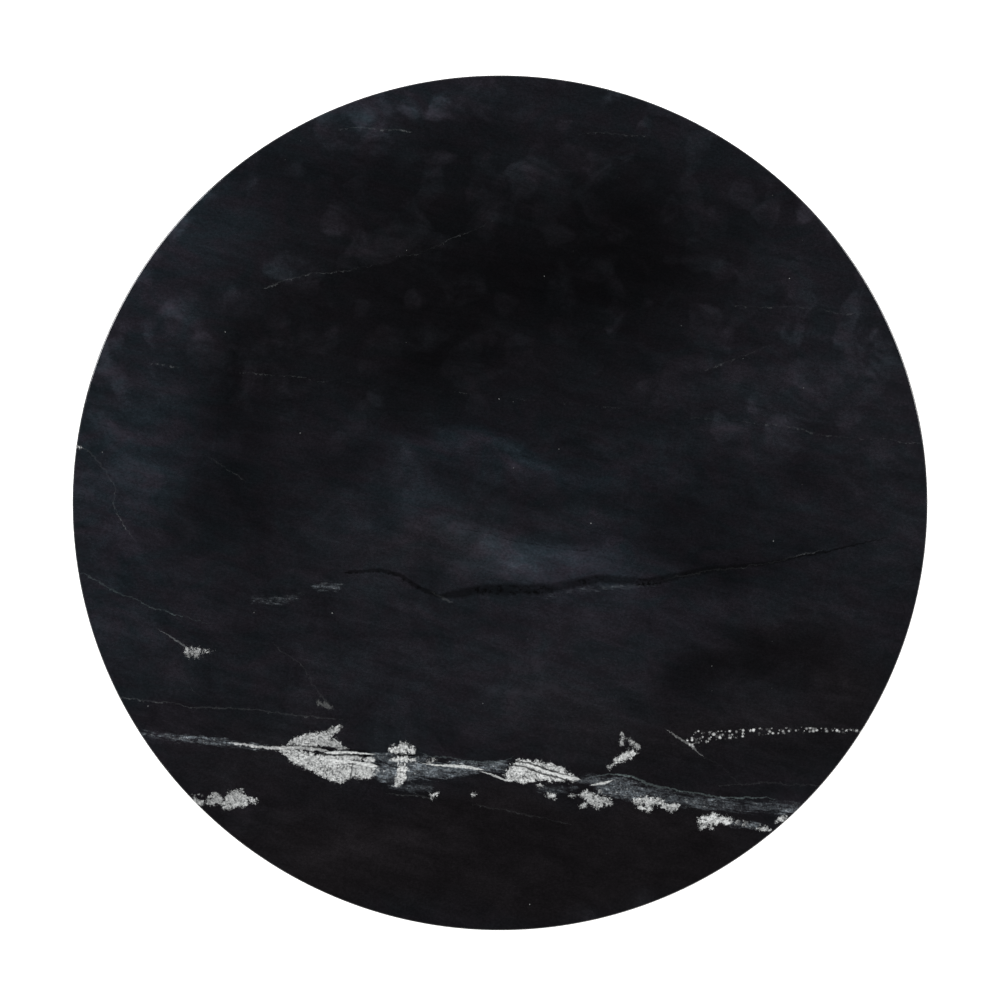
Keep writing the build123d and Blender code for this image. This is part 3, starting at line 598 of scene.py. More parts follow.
def stone_ground(tree, place, fields, settings):
    """The near-black ground: its light is 2 to the power of the sum of the clouds, of some patterns, each
    swinging by a number of stops about its mean, and of the clasts, which are blurred angular cells."""
    light = add(tree, "Attribute", {"attribute_name": "light"}, {}).outputs["Fac"]
    warmth = add(tree, "Attribute", {"attribute_name": "warmth"}, {}).outputs["Fac"]
    push = {0: fields["bend"], 1: (0.02,) * 3, 2: place}
    bent = add(tree, "VectorMath", {"operation": "MULTIPLY_ADD"}, push)
    near = {"Vector": bent, "Scale": CLASTS_PER_METRE, "Smoothness": 0.4}
    cells = add(tree, "TexVoronoi", {"feature": "SMOOTH_F1"}, near)
    lot = add(tree, "SeparateXYZ", {}, {"Vector": cells.outputs["Color"]}).outputs[0]
    north = add(tree, "SeparateXYZ", {}, {"Vector": place}).outputs["Y"]
    there = add(tree, "MapRange", {}, {"Value": north, "From Min": 0.0, "From Max": 0.25, "To Min": 0.15})
    flock = add(tree, "MapRange", {}, {"Value": fields["smoke"], "From Min": 0.36, "From Max": 0.58})
    there = add(tree, "Math", {"operation": "MULTIPLY"}, {0: there, 1: flock})
    chosen = add(tree, "MapRange", {}, {"Value": lot, "From Min": 0.45, "From Max": 0.95})
    even = add(tree, "Math", {"operation": "SUBTRACT"}, {0: chosen, 1: 0.25})
    clasts = add(tree, "Math", {"operation": "MULTIPLY_ADD"}, {0: even, 1: there, 2: 0.5})
    swings = [(fields[name], stops) for name, stops in GROUND_SWINGS] + [(clasts, CLAST_SWING)]
    livelier = {"From Min": -0.8, "From Max": 1.0, "To Min": 1.15, "To Max": 1.5}
    lively = add(tree, "MapRange", {}, {"Value": light, **livelier})
    for pattern, stops in swings:
        swing = add(tree, "Math", {"operation": "MULTIPLY_ADD"}, {0: pattern, 1: stops, 2: -stops / 2})
        swing = add(tree, "Math", {"operation": "MULTIPLY"}, {0: swing, 1: lively})
        light = add(tree, "Math", {"operation": "ADD"}, {0: light, 1: swing})
    brightness = add(tree, "Math", {"operation": "POWER"}, {0: 2.0, 1: light})
    bluish = add(tree, "MapRange", {}, {"Value": fields["hue"], "From Min": 0.38, "From Max": 0.62})
    two_colors = {6: (*settings.slate, 1), 7: (*settings.mauve, 1)}
    cool = add(tree, "Mix", COLORS, {"Factor": bluish, **two_colors}).outputs[2]
    warm = add(tree, "MapRange", {}, {"Value": warmth, "From Min": -0.3, "From Max": 0.7})
    ground = add(tree, "Mix", COLORS, {"Factor": warm, 6: cool, 7: (*settings.umber, 1)}).outputs[2]
    return add(tree, "VectorMath", {"operation": "SCALE"}, {0: ground, "Scale": brightness}).outputs[0]


def fibre_layer(tree, color, fields, settings):
    """Blue-grey fibres, drawn out along the band, with pale glints among them."""
    field = add(tree, "Attribute", {"attribute_name": "fibre"}, {}).outputs["Vector"]
    parts = add(tree, "SeparateXYZ", {}, {"Vector": field})
    ragged = add(tree, "Math", {"operation": "MULTIPLY_ADD"}, {0: fields["strand"], 1: 24.0, 2: -12.0})
    depth = add(tree, "Math", {"operation": "ADD"}, {0: parts.outputs[0], 1: ragged})
    inside = add(tree, "MapRange", {}, {"Value": depth, "From Min": -1.5, "From Max": 5})
    mask = add(tree, "Math", {"operation": "MULTIPLY"}, {0: inside, 1: parts.outputs[1]})
    for name, low, high, least in FIBRE_SHARES:
        limits = {"From Min": low, "From Max": high, "To Min": least, "To Max": 1.25}
        share = add(tree, "MapRange", {}, {"Value": fields[name], **limits})
        mask = add(tree, "Math", {"operation": "MULTIPLY", "use_clamp": True}, {0: mask, 1: share})
    color = add(tree, "Mix", COLORS, {"Factor": mask, 6: color, 7: (*settings.fibre, 1)}).outputs[2]
    glint = add(tree, "MapRange", {}, {"Value": fields["pits"], "From Min": 0.57, "From Max": 0.68})
    glint_mask = add(tree, "Math", {"operation": "MULTIPLY"}, {0: mask, 1: glint})
    return add(tree, "Mix", COLORS, {"Factor": glint_mask, 6: color, 7: (*settings.calcite, 1)}).outputs[2]


def vein_layer(tree, color, tone, fields, settings):
    """The veins of one tone. A vein is strongest on its line and fades out at its half width; wander
    roughens it, sway bends a broken vein to and fro, and beads and fades break it up."""
    tones = {"white": "calcite", "grey": "vein", "teal": "fibre_light", "dark": "seam"}
    vein_color = (*getattr(settings, tones[tone]), 1)
    beads = add(tree, "MapRange", {}, {"Value": fields["beads"], "From Min": 0.47, "From Max": 0.6})
    fades = add(tree, "MapRange", {}, {"Value": fields["fade"], "From Min": 0.4, "From Max": 0.6})
    dashes = add(tree, "Math", {"operation": "MULTIPLY"}, {0: beads, 1: fades})
    gritty = {"Value": fields["speckle"], "From Min": 0.36, "From Max": 0.56, "To Min": 0.4}
    grit = add(tree, "MapRange", {}, gritty)
    for name, vein_tone, strength, breaks, _ in VEINS:
        if vein_tone != tone:
            continue
        field = add(tree, "Attribute", {"attribute_name": name}, {}).outputs["Vector"]
        parts = add(tree, "SeparateXYZ", {}, {"Vector": field})
        moved = parts.outputs[0]
        for pattern, amount in ((fields["wander"], 3 + 9 * breaks), (fields["sway"], 16 * breaks)):
            swing = {0: pattern, 1: amount, 2: -amount / 2}
            swing = add(tree, "Math", {"operation": "MULTIPLY_ADD"}, swing)
            moved = add(tree, "Math", {"operation": "ADD"}, {0: moved, 1: swing})
        away = add(tree, "Math", {"operation": "ABSOLUTE"}, {0: moved})
        reach = add(tree, "Math", {"operation": "MULTIPLY_ADD"}, {0: parts.outputs[1], 1: 1.3, 2: 0.001})
        body = add(tree, "MapRange", {}, {"Value": away, "From Min": reach, "From Max": 0.0, "To Max": 2.0})
        full = add(tree, "Math", {"operation": "MINIMUM"}, {0: body, 1: 1.0})
        least = strength * (1.0 - breaks)
        broken = add(tree, "MapRange", {}, {"Value": dashes, "To Min": least, "To Max": strength})
        mask = add(tree, "Math", {"operation": "MULTIPLY"}, {0: full, 1: broken})
        if tone != "dark":
            mask = add(tree, "Math", {"operation": "MULTIPLY"}, {0: mask, 1: grit})
        color = add(tree, "Mix", COLORS, {"Factor": mask, 6: color, 7: vein_color}).outputs[2]
    return color


def calcite_layer(tree, color, place, fields, settings):
    """White calcite, crumbled at its edges, pitted, mottled by its grains and cracked between its
    lumps."""
    field = add(tree, "Attribute", {"attribute_name": "grain"}, {}).outputs["Vector"]
    parts = add(tree, "SeparateXYZ", {}, {"Vector": field})
    crumble = add(tree, "Math", {"operation": "MULTIPLY_ADD"}, {0: fields["crumble"], 1: 34.0, 2: -17.0})
    depth = add(tree, "Math", {"operation": "ADD"}, {0: parts.outputs[0], 1: crumble})
    inside = add(tree, "MapRange", {}, {"Value": depth, "From Min": -0.3, "From Max": 1.2})
    push = {0: fields["bend"], 1: (0.03,) * 3, 2: place}
    bent = add(tree, "VectorMath", {"operation": "MULTIPLY_ADD"}, push)
    near = {"Vector": bent, "Scale": LUMPS_PER_METRE}
    lumps = add(tree, "TexVoronoi", {"feature": "DISTANCE_TO_EDGE"}, near)
    crack = add(tree, "MapRange", {}, {"Value": lumps, "From Min": 0.0, "From Max": 0.05, "To Min": 0.5})
    tone = add(tree, "Math", {"operation": "MULTIPLY"}, {0: parts.outputs[1], 1: crack})
    for name, low, high, least in CALCITE_SHARES:
        limits = {"From Min": low, "From Max": high, "To Min": least, "To Max": 1.1}
        share = add(tree, "MapRange", {}, {"Value": fields[name], **limits})
        tone = add(tree, "Math", {"operation": "MULTIPLY"}, {0: tone, 1: share})
    two_colors = {6: (*settings.grain_shade, 1), 7: (*settings.calcite, 1)}
    calcite = add(tree, "Mix", COLORS, {"Factor": tone, **two_colors}).outputs[2]
    return add(tree, "Mix", COLORS, {"Factor": inside, 6: color, 7: calcite}).outputs[2]


def dot_layer(tree, color, place, fields, settings):
    """Separate dots of calcite: the stone is white near the middle of each cell, more in some than
    others."""
    field = add(tree, "Attribute", {"attribute_name": "dots"}, {}).outputs["Vector"]
    parts = add(tree, "SeparateXYZ", {}, {"Vector": field})
    cells = add(tree, "TexVoronoi", {}, {"Vector": place, "Scale": DOTS_PER_METRE})
    lot = add(tree, "SeparateXYZ", {}, {"Vector": cells.outputs["Color"]})
    reach = add(tree, "Math", {"operation": "MULTIPLY_ADD"}, {0: lot.outputs[0], 1: 0.6, 2: 0.15})
    away = cells.outputs["Distance"]
    dot = add(tree, "MapRange", {}, {"Value": away, "From Min": reach, "From Max": 0.0, "To Max": 1.6})
    some = {"Value": lot.outputs[1], "From Min": 0.2, "From Max": 0.85, "To Min": 0.08}
    bright = add(tree, "MapRange", {}, some)
    depth = add(tree, "Math", {"operation": "MULTIPLY_ADD"}, {0: fields["crumble"], 1: 8.0, 2: -4.0})
    depth = add(tree, "Math", {"operation": "ADD"}, {0: parts.outputs[0], 1: depth})
    inside = add(tree, "MapRange", {}, {"Value": depth, "From Min": -1.0, "From Max": 0.8})
    mask = add(tree, "Math", {"operation": "MULTIPLY"}, {0: inside, 1: parts.outputs[1]})
    for share in (dot, bright):
        mask = add(tree, "Math", {"operation": "MULTIPLY"}, {0: mask, 1: share})
    return add(tree, "Mix", COLORS, {"Factor": mask, 6: color, 7: (*settings.calcite, 1)}).outputs[2]


def speck_layer(tree, color, place, settings):
    """Specks: some cells hold one white point under a millimetre across."""
    cells = add(tree, "TexVoronoi", {}, {"Vector": place, "Scale": SPECKS_PER_METRE})
    away = cells.outputs["Distance"]
    point = add(tree, "MapRange", {}, {"Value": away, "From Min": 0.042, "From Max": 0.015})
    lot = add(tree, "SeparateXYZ", {}, {"Vector": cells.outputs["Color"]})
    chosen = add(tree, "MapRange", {}, {"Value": lot, "From Min": 0.8, "From Max": 1.0, "To Max": 0.5})
    mask = add(tree, "Math", {"operation": "MULTIPLY"}, {0: point, 1: chosen})
    return add(tree, "Mix", COLORS, {"Factor": mask, 6: color, 7: (*settings.calcite, 1)}).outputs[2]


# What each finish is, and what it gives the eye. In order: two colours and the size in millimetres of the
# patches that they make, metallic, lowest and highest roughness, the size and depth of its texture, and how
# much dust its upper faces hold. Where the first colour is None, it is the setting for the black coats. A
# texture too fine to show is drawn as coarse as it needs to show.
FINISHES = {
    # Turned brass, left bare: warm, bright, with a little tarnish.
    "brass": ("#c8a052", "#a67c3c", 5, 1, 0.25, 0.45, 0.8, 0.01, 0),
    # Bright zinc plate: a cool, slightly cloudy metal that turns yellowish in places.
    "zinc_plated_steel": ("#c3c8cc", "#b9b5a6", 7, 1, 0.22, 0.42, 1.2, 0.012, 0),
    # Black oxide: dark brown-black metal with an oily, uneven sheen.
    "black_oxide_steel": ("#2a2a2d", "#37322f", 4, 1, 0.3, 0.5, 1.0, 0.01, 0),
    # Fine satin powder coat: an even black with the shallow bumps of orange peel, drawn 3 mm apart.
    "powder_coated_steel": (None, "#191819", 40, 0, 0.36, 0.46, 3, 0.05, 0.02),
    # Satin paint on a fettled aluminium casting: as the powder coat, but smoother and with longer waves.
    "painted_aluminium": (None, "#18181a", 60, 0, 0.32, 0.42, 9, 0.08, 0.02),
    # Satin paint on a sand casting: black, with the grain of the moulding sand showing through.
    "painted_cast_iron": (None, "#191919", 50, 0, 0.4, 0.5, 2.6, 0.3, 0.03),
    # Injection-moulded black nylon with a spark-eroded texture: dull and a little milky.
    "nylon": ("#1a1a1b", "#232324", 12, 0, 0.45, 0.6, 0.9, 0.03, 0.02),
    # Moulded rubber: dark grey and matt, with a pale bloom in patches.
    "sole_rubber": ("#262625", "#33322f", 8, 0, 0.75, 0.95, 0.8, 0.03, 0),
}


def made_finish(name, coat):
    """A material for one row of FINISHES: colour in soft patches, uneven gloss, a shallow texture and
    dust."""
    first, second, patch, metallic, smooth, rough, grain, depth, dust = FINISHES[name]
    material, tree = new_material(name)
    place = add(tree, "TexCoord", {}, {}).outputs["Object"]
    cloudy = {"Scale": 1 / (patch * MM), "Detail": 5, "Roughness": 0.6}
    patches = add(tree, "TexNoise", {}, {"Vector": place, **cloudy})
    grainy = {"Scale": 1 / (grain * MM), "Detail": 3, "Roughness": 0.55}
    texture = add(tree, "TexNoise", {}, {"Vector": place, **grainy})
    share = add(tree, "MapRange", {}, {"Value": patches, "From Min": 0.35, "From Max": 0.65})
    base = linear(first) if first else coat
    color = add(tree, "Mix", COLORS, {"Factor": share, 6: (*base, 1), 7: (*linear(second), 1)}).outputs[2]
    limits = {"From Min": 0.3, "From Max": 0.7, "To Min": smooth, "To Max": rough}
    gloss = add(tree, "MapRange", {}, {"Value": patches, **limits})
    if dust:
        normal = add(tree, "NewGeometry", {}, {}).outputs["Normal"]
        upward = add(tree, "SeparateXYZ", {}, {"Vector": normal}).outputs["Z"]
        settled = {"From Min": 0.4, "From Max": 1.0, "To Max": 2 * dust}
        lying = add(tree, "MapRange", {}, {"Value": upward, **settled})
        dusty = add(tree, "Math", {"operation": "MULTIPLY"}, {0: lying, 1: texture})
        color = add(tree, "Mix", COLORS, {"Factor": dusty, 6: color, 7: (*linear("#8d867b"), 1)}).outputs[2]
    bump = add(tree, "Bump", {}, {"Height": texture, "Distance": depth * MM})
    feeds = {"Base Color": color, "Roughness": gloss, "Metallic": metallic, "Normal": bump}
    shader = add(tree, "BsdfPrincipled", {}, feeds)
    add(tree, "OutputMaterial", {}, {"Surface": shader})
    return material


def resin_net():
    """Glass-fibre net, 5 mm between threads, in clear polyester resin on the slab's sawn back: a pale grid
    in a dark, faintly amber gloss."""
    material, tree = new_material("glass_fibre_net_in_resin")
    place = add(tree, "TexCoord", {}, {}).outputs["Object"]
    slack = add(tree, "TexNoise", {}, {"Vector": place, "Scale": 25, "Detail": 2}).outputs["Color"]
    pulled = add(tree, "VectorMath", {"operation": "MULTIPLY_ADD"}, {0: slack, 1: (0.004,) * 3, 2: place})
    axes = add(tree, "SeparateXYZ", {}, {"Vector": pulled})
    threads = []
    for axis in ("X", "Y"):
        away = add(tree, "Math", {"operation": "PINGPONG"}, {0: axes.outputs[axis], 1: 2.5 * MM})
        width = {"From Min": 0.8 * MM, "From Max": 0.4 * MM}
        threads.append(add(tree, "MapRange", {}, {"Value": away, **width}))
    grid = add(tree, "Math", {"operation": "MAXIMUM"}, {0: threads[0], 1: threads[1]})
    flow = add(tree, "TexNoise", {}, {"Vector": place, "Scale": 12, "Detail": 4})
    two_colors = {6: (*linear("#26231f"), 1), 7: (*linear("#3a342a"), 1)}
    resin = add(tree, "Mix", COLORS, {"Factor": flow, **two_colors}).outputs[2]
    soaked = add(tree, "Math", {"operation": "MULTIPLY"}, {0: grid, 1: 0.55})
    color = add(tree, "Mix", COLORS, {"Factor": soaked, 6: resin, 7: (*linear("#b5b2a4"), 1)}).outputs[2]
    bump = add(tree, "Bump", {}, {"Height": grid, "Distance": 0.15 * MM})
    gloss = add(tree, "MapRange", {}, {"Value": flow, "To Min": 0.18, "To Max": 0.4})
    feeds = {"Base Color": color, "Roughness": gloss, "IOR": 1.55, "Normal": bump}
    add(tree, "OutputMaterial", {}, {"Surface": add(tree, "BsdfPrincipled", {}, feeds)})
    return material


def birch_plywood():
    """Thirteen-ply birch with a clear seal: pale, silky faces with rotary-cut figure along X, and edges
    striped by plies that show long grain and end grain in turn, with dark glue lines between."""
    material, tree = new_material("sealed_birch_plywood")
    place = add(tree, "TexCoord", {}, {}).outputs["Object"]
    lie = {"Vector": place, "Scale": (14, 1, 1)}
    drawn_out = add(tree, "Mapping", {"vector_type": "TEXTURE"}, lie)
    figure = add(tree, "TexNoise", {}, {"Vector": drawn_out, "Scale": 28, "Detail": 4, "Distortion": 1.4})
    pores = add(tree, "TexNoise", {}, {"Vector": drawn_out, "Scale": 500, "Detail": 2})
    rings = add(tree, "Math", {"operation": "PINGPONG"}, {0: figure, 1: 0.035})
    late_wood = add(tree, "MapRange", {}, {"Value": rings, "From Max": 0.035})
    two_colors = {6: (*linear("#cbab7c"), 1), 7: (*linear("#bd9a6a"), 1)}
    face = add(tree, "Mix", COLORS, {"Factor": late_wood, **two_colors}).outputs[2]
    dark_pores = {"Value": pores, "From Min": 0.5, "From Max": 0.75, "To Max": 0.35}
    speckled = add(tree, "MapRange", {}, dark_pores)
    face = add(tree, "Mix", COLORS, {"Factor": speckled, 6: face, 7: (*linear("#8f6c42"), 1)}).outputs[2]

    ply = (PANEL_HIGH[2] - PANEL_LOW[2]) / 13
    up = add(tree, "SeparateXYZ", {}, {"Vector": place}).outputs["Z"]
    height = add(tree, "Math", {"operation": "SUBTRACT"}, {0: up, 1: PANEL_LOW[2]})
    pair = add(tree, "Math", {"operation": "PINGPONG"}, {0: height, 1: ply})
    cross_cut = add(tree, "Math", {"operation": "GREATER_THAN"}, {0: pair, 1: ply / 2})
    two_colors = {6: (*linear("#c3a073"), 1), 7: (*linear("#93704a"), 1)}
    edge = add(tree, "Mix", COLORS, {"Factor": cross_cut, **two_colors}).outputs[2]
    middle = add(tree, "Math", {"operation": "SUBTRACT"}, {0: pair, 1: ply / 2})
    from_glue = add(tree, "Math", {"operation": "ABSOLUTE"}, {0: middle})
    glue = add(tree, "MapRange", {}, {"Value": from_glue, "From Min": 0.16 * MM, "From Max": 0.08 * MM})
    edge = add(tree, "Mix", COLORS, {"Factor": glue, 6: edge, 7: (*linear("#4c351f"), 1)}).outputs[2]

    normal = add(tree, "NewGeometry", {}, {}).outputs["Normal"]
    facing = add(tree, "SeparateXYZ", {}, {"Vector": normal}).outputs["Z"]
    flatness = add(tree, "Math", {"operation": "ABSOLUTE"}, {0: facing})
    is_face = add(tree, "Math", {"operation": "GREATER_THAN"}, {0: flatness, 1: 0.9})
    color = add(tree, "Mix", COLORS, {"Factor": is_face, 6: edge, 7: face}).outputs[2]
    bump = add(tree, "Bump", {}, {"Height": pores, "Distance": 0.05 * MM})
    gloss = add(tree, "MapRange", {}, {"Value": figure, "To Min": 0.38, "To Max": 0.52})
    feeds = {"Base Color": color, "Roughness": gloss, "Normal": bump}
    add(tree, "OutputMaterial", {}, {"Surface": add(tree, "BsdfPrincipled", {}, feeds)})
    return material


# ---- Screws, feet and welds ----
def threaded(radius, pitch, high, low, angles):
    """A threaded length from high down to low: at each height and angle the radius is the core's, plus the
    thread's depth times a ridge, a triangle wave of height over pitch less the turn, cut flat at its
    crest and root as metric threads are. Both ends are coned by half a pitch."""
    depth = 0.613 * pitch
    heights = np.linspace(high, low, int(round((high - low) / pitch * 8)) + 1)
    wave = (heights[:, None] / pitch - angles[None, :] / (2 * math.pi)) % 1
    triangle = 1 - np.abs(2 * wave - 1)
    radii = radius - depth + depth * np.clip((triangle - 0.25) / 0.625, 0, 1)
    from_end = np.minimum(high - heights, heights - low)
    return heights, np.minimum(radii, radius - 0.75 * depth + from_end[:, None])


def hexagonal(flats, high, low, angles):
    """A hexagon from high down to low: the radius is half the flats over the cosine of the angle from the
    middle of a flat, kept under a cone of 30 degrees that chamfers the corners at both faces."""
    from_flat = (angles + math.pi / 6) % (math.pi / 3) - math.pi / 6
    sides = flats / 2 / np.cos(from_flat)
    reach = np.array([0, 0.25, 0.5, 0.75, 1]) * flats * 0.06
    heights = np.concatenate([high - reach, (low + reach)[::-1]])
    from_end = np.minimum(high - heights, heights - low)
    cone = flats / 2 * 0.96 + from_end[:, None] / math.tan(math.radians(30))
    return heights, np.minimum(sides[None, :], cone)


def stacked(parts, angles):
    """Joins lengths of one turned or threaded piece, top first. Each is heights with radii for every
    angle, or a plain corner of radius and height. It starts and ends on the axis."""
    heights, radii = [], []
    for part in parts:
        if isinstance(part[0], np.ndarray):
            heights.append(part[0])
            radii.append(part[1])
        else:
            radii.append(np.full((1, len(angles)), part[0]))
            heights.append(np.array([part[1]]))
    return np.concatenate(radii), np.concatenate(heights)


def levelling_stud(low, high, settings):
    """An M10 stud, 15 mm hexagon, neck and headed foot, from the frame's lowest and highest points of
    it."""
    angles = np.linspace(0, 2 * math.pi, 48, endpoint=False)
    hex_low = low + 5.9 * MM
    hex_high = hex_low + 6 * MM
    foot_top = low + 2.8 * MM
    parts = [
        (0, high),
        threaded(STUD_RADIUS, settings.stud_pitch, high, hex_high, angles),
        hexagonal(STUD_FLATS, hex_high, hex_low, angles),
        (NECK_RADIUS, hex_low),
        (NECK_RADIUS, foot_top),
        (HEAD_RADIUS - BREAK, foot_top),
        (HEAD_RADIUS, foot_top - BREAK),
        (HEAD_RADIUS, low + BREAK),
        (HEAD_RADIUS - BREAK, low),
        (0, low),
    ]
    return turned_surface(*stacked(parts, angles), angles)


def threaded_tie_rod(low, high, settings):
    """An M16 rod with 46 mm of thread at each end."""
    angles = np.linspace(0, 2 * math.pi, 40, endpoint=False)
    parts = [
        (0, high),
        threaded(ROD_RADIUS, settings.rod_pitch, high, high - ROD_THREAD, angles),
        (SHANK_RADIUS, high - ROD_RUN_OUT),
        (SHANK_RADIUS, low + ROD_RUN_OUT),
        threaded(ROD_RADIUS, settings.rod_pitch, low + ROD_THREAD, low, angles),
        (0, low),
    ]
    return turned_surface(*stacked(parts, angles), angles)


def fluted_pad(low, high, settings):
    """A foot's pad, a turned disc with a socket undercut for the stud's head. Its rim is fluted for grip:
    the radius loses a raised cosine of so many times the angle as there are flutes, faded in and out
    over the flutes' height."""
    angles = np.linspace(0, 2 * math.pi, 144, endpoint=False)
    rounding = np.radians(np.linspace(90, 0, 6))
    over = (19 * MM + 2 * MM * np.cos(rounding), high - 2 * MM + 2 * MM * np.sin(rounding))
    flute_heights = np.linspace(high - 2 * MM, low + 0.8 * MM, 9)[1:]
    fade = np.sin(np.linspace(0, math.pi, 10))[1:-1] ** 0.5
    flutes = 21 * MM - 0.9 * MM * fade[:, None] * (0.5 + 0.5 * np.cos(settings.flutes * angles)) ** 2
    socket = [(0, 3.4), (7.6, 3.4), (7.6, 6.6), (6.1, 6.6), (6.1, 8.7), (6.4, 9)]
    parts = [(r * MM, low + (z - 2) * MM) for r, z in socket]
    parts += list(zip(*over))
    parts += [(flute_heights, flutes), (20.8 * MM, low), (0, low)]
    return turned_surface(*stacked(parts, angles), angles)


def grooved_sole(low, high, settings):
    """A foot's rubber sole: a turned disc with four round grooves, 0.8 mm deep, in its lower face. It
    takes the settings only so that it is called as the stud and the pad are."""
    angles = np.linspace(0, 2 * math.pi, 72, endpoint=False)
    inner, outer, chamfer = 19.6 * MM, 20 * MM, 0.4 * MM
    parts = [(0, high), (inner, high), (outer, high - chamfer), (outer, low + chamfer), (inner, low)]
    for middle in (17.2, 13.4, 9.6, 5.8):
        for across, up in ((0.9, 0), (0.5, 0.8), (-0.5, 0.8), (-0.9, 0)):
            parts.append(((middle + across) * MM, low + up * MM))
    parts.append((0, low))
    return turned_surface(*stacked(parts, angles), angles)


def weld_beads(root, tip, under, half_thickness):
    """The two beads that join one arm's web to its flange, along X: a round section whose radius rises and
    falls with every ripple, by the size of a sine that lags round the section, and closes at both ends."""
    along = np.linspace(root, tip, 320)
    around = np.linspace(0, 2 * math.pi, 14, endpoint=False)
    share = np.linspace(-1, 1, len(along))
    closing = np.sqrt(np.clip(1 - np.abs(share) ** 60, 0, 1))
    ripple = np.abs(np.sin(math.pi * along[:, None] / (2.4 * MM) + 0.7 * np.cos(around[None, :])))
    radius = closing[:, None] * (2.5 + 0.35 * ripple) * MM
    beads = []
    for side in (1, -1):
        middle_y = side * (half_thickness + 0.8 * MM)
        y = middle_y + radius * np.cos(around)
        z = under - 0.8 * MM - radius * np.sin(around)
        x = np.repeat(along[:, None], len(around), axis=1)
        rings = np.stack([x, y, z], axis=2)[1:-1]
        ends = np.array([[along[0], middle_y, under - 0.8 * MM], [along[-1], middle_y, under - 0.8 * MM]])
        beads.append(closed_grid(rings, ends))
    return joined(beads)


def turned_about_z(points, quarter):
    """Points turned about the table's axis by a number of quarter turns."""
    cos, sin = [(1, 0), (0, 1), (-1, 0), (0, -1)][quarter % 4]
    return points @ np.array([[cos, sin, 0], [-sin, cos, 0], [0, 0, 1]])


def joined(surfaces):
    """Several closed surfaces as one list of points and faces."""
    points, faces, count = [], [], 0
    for some_points, some_faces in surfaces:
        points.append(some_points)
        faces += [[count + corner for corner in face] for face in some_faces]
        count += len(some_points)
    return np.concatenate(points), faces


# ---- Settings ----
class SlabSettings(bpy.types.PropertyGroup):
    """What a user would change about the slab."""

    slate: bpy.props.FloatVectorProperty(
        name="Slate", description="The stone's cooler ground", subtype="COLOR", default=linear("#12171b")
    )
    mauve: bpy.props.FloatVectorProperty(
        name="Mauve", description="The stone's grey-violet ground",
        subtype="COLOR", default=linear("#18171c"),
    )
    umber: bpy.props.FloatVectorProperty(
        name="Umber", description="The stone's warmer ground", subtype="COLOR", default=linear("#161416")
    )
    calcite: bpy.props.FloatVectorProperty(
        name="Calcite", description="The whitest grains", subtype="COLOR", default=linear("#e4e6e5")
    )
    grain_shade: bpy.props.FloatVectorProperty(
        name="Grain shade", description="Between the white grains",
        subtype="COLOR", default=linear("#1e1f21"),
    )
    vein: bpy.props.FloatVectorProperty(
        name="Vein", description="Hairline veins", subtype="COLOR", default=linear("#8b8f90")
    )
    fibre: bpy.props.FloatVectorProperty(
        name="Fibre", description="Blue-grey fibres of the band",
        subtype="COLOR", default=linear("#8d969d"),
    )
    fibre_light: bpy.props.FloatVectorProperty(
        name="Light fibre", description="The palest fibres", subtype="COLOR", default=linear("#93a3a3")
    )
    seam: bpy.props.FloatVectorProperty(
        name="Seam", description="Dark seams through the grains",
        subtype="COLOR", default=linear("#060607"),
    )
    arris: bpy.props.FloatProperty(
        name="Arris", description="Radius of the eased upper edge", subtype="DISTANCE", default=3 * MM
    )
    lower_arris: bpy.props.FloatProperty(
        name="Lower arris", description="Radius of the lower edge", subtype="DISTANCE", default=2 * MM
    )


class UnderframeSettings(bpy.types.PropertyGroup):
    """What a user would change about the pieces under the slab."""

    coat: bpy.props.FloatVectorProperty(
        name="Coat", description="Colour of the black coats", subtype="COLOR", default=linear("#131315")
    )
    rod_pitch: bpy.props.FloatProperty(
        name="Rod pitch", description="Pitch of the tie rod's thread", subtype="DISTANCE", default=2 * MM
    )
    stud_pitch: bpy.props.FloatProperty(
        name="Stud pitch", description="Pitch of the feet's thread", subtype="DISTANCE", default=1.5 * MM
    )
    flutes: bpy.props.IntProperty(name="Flutes", description="Flutes round each foot's pad", default=24)


class StageSettings(bpy.types.PropertyGroup):
    """What a user would change about the studio."""

    distance: bpy.props.FloatProperty(
        name="Camera distance", description="From the camera to the slab", subtype="DISTANCE", default=4.0
    )
    lens: bpy.props.FloatProperty(
        name="Focal length", description="Focal length of the lens",
        subtype="DISTANCE_CAMERA", default=101.0,
    )
    key: bpy.props.FloatProperty(
        name="Key light", description="Power of the light on the left", subtype="POWER", default=150.0
    )
    fill: bpy.props.FloatProperty(
        name="Fill light", description="Power of the light on the right", subtype="POWER", default=80.0
    )
    floor: bpy.props.FloatVectorProperty(
        name="Floor", description="Colour of the floor", subtype="COLOR", default=linear("#fbfbfb")
    )


# ---- Operators ----
class PEDESTAL_OT_slab(bpy.types.Operator):
    """Makes the marble slab"""

    bl_idname = "pedestal.slab"
    bl_label = "Marble slab"

    def execute(self, context):
        settings = context.scene.pedestal_slab
        low, high = SLAB_LOW[2], SLAB_HIGH[2]
        radii, heights = slab_section(SLAB_HIGH[0], low, high, settings.arris, settings.lower_arris)
        # Angles crowd towards -Y, where the band is: each is an even angle less a share of its cosine.
        even = np.linspace(0, 2 * math.pi, 480, endpoint=False)
        surface = turned_surface(radii, heights, even - 0.35 * np.cos(even))
        material = black_marble(settings)
        slab = make_piece("marble_slab", surface, material, TABLE, "stone_top")
        slab_mesh_fields(slab.data, surface[0][:, :2] / MM)
        return {"FINISHED"}


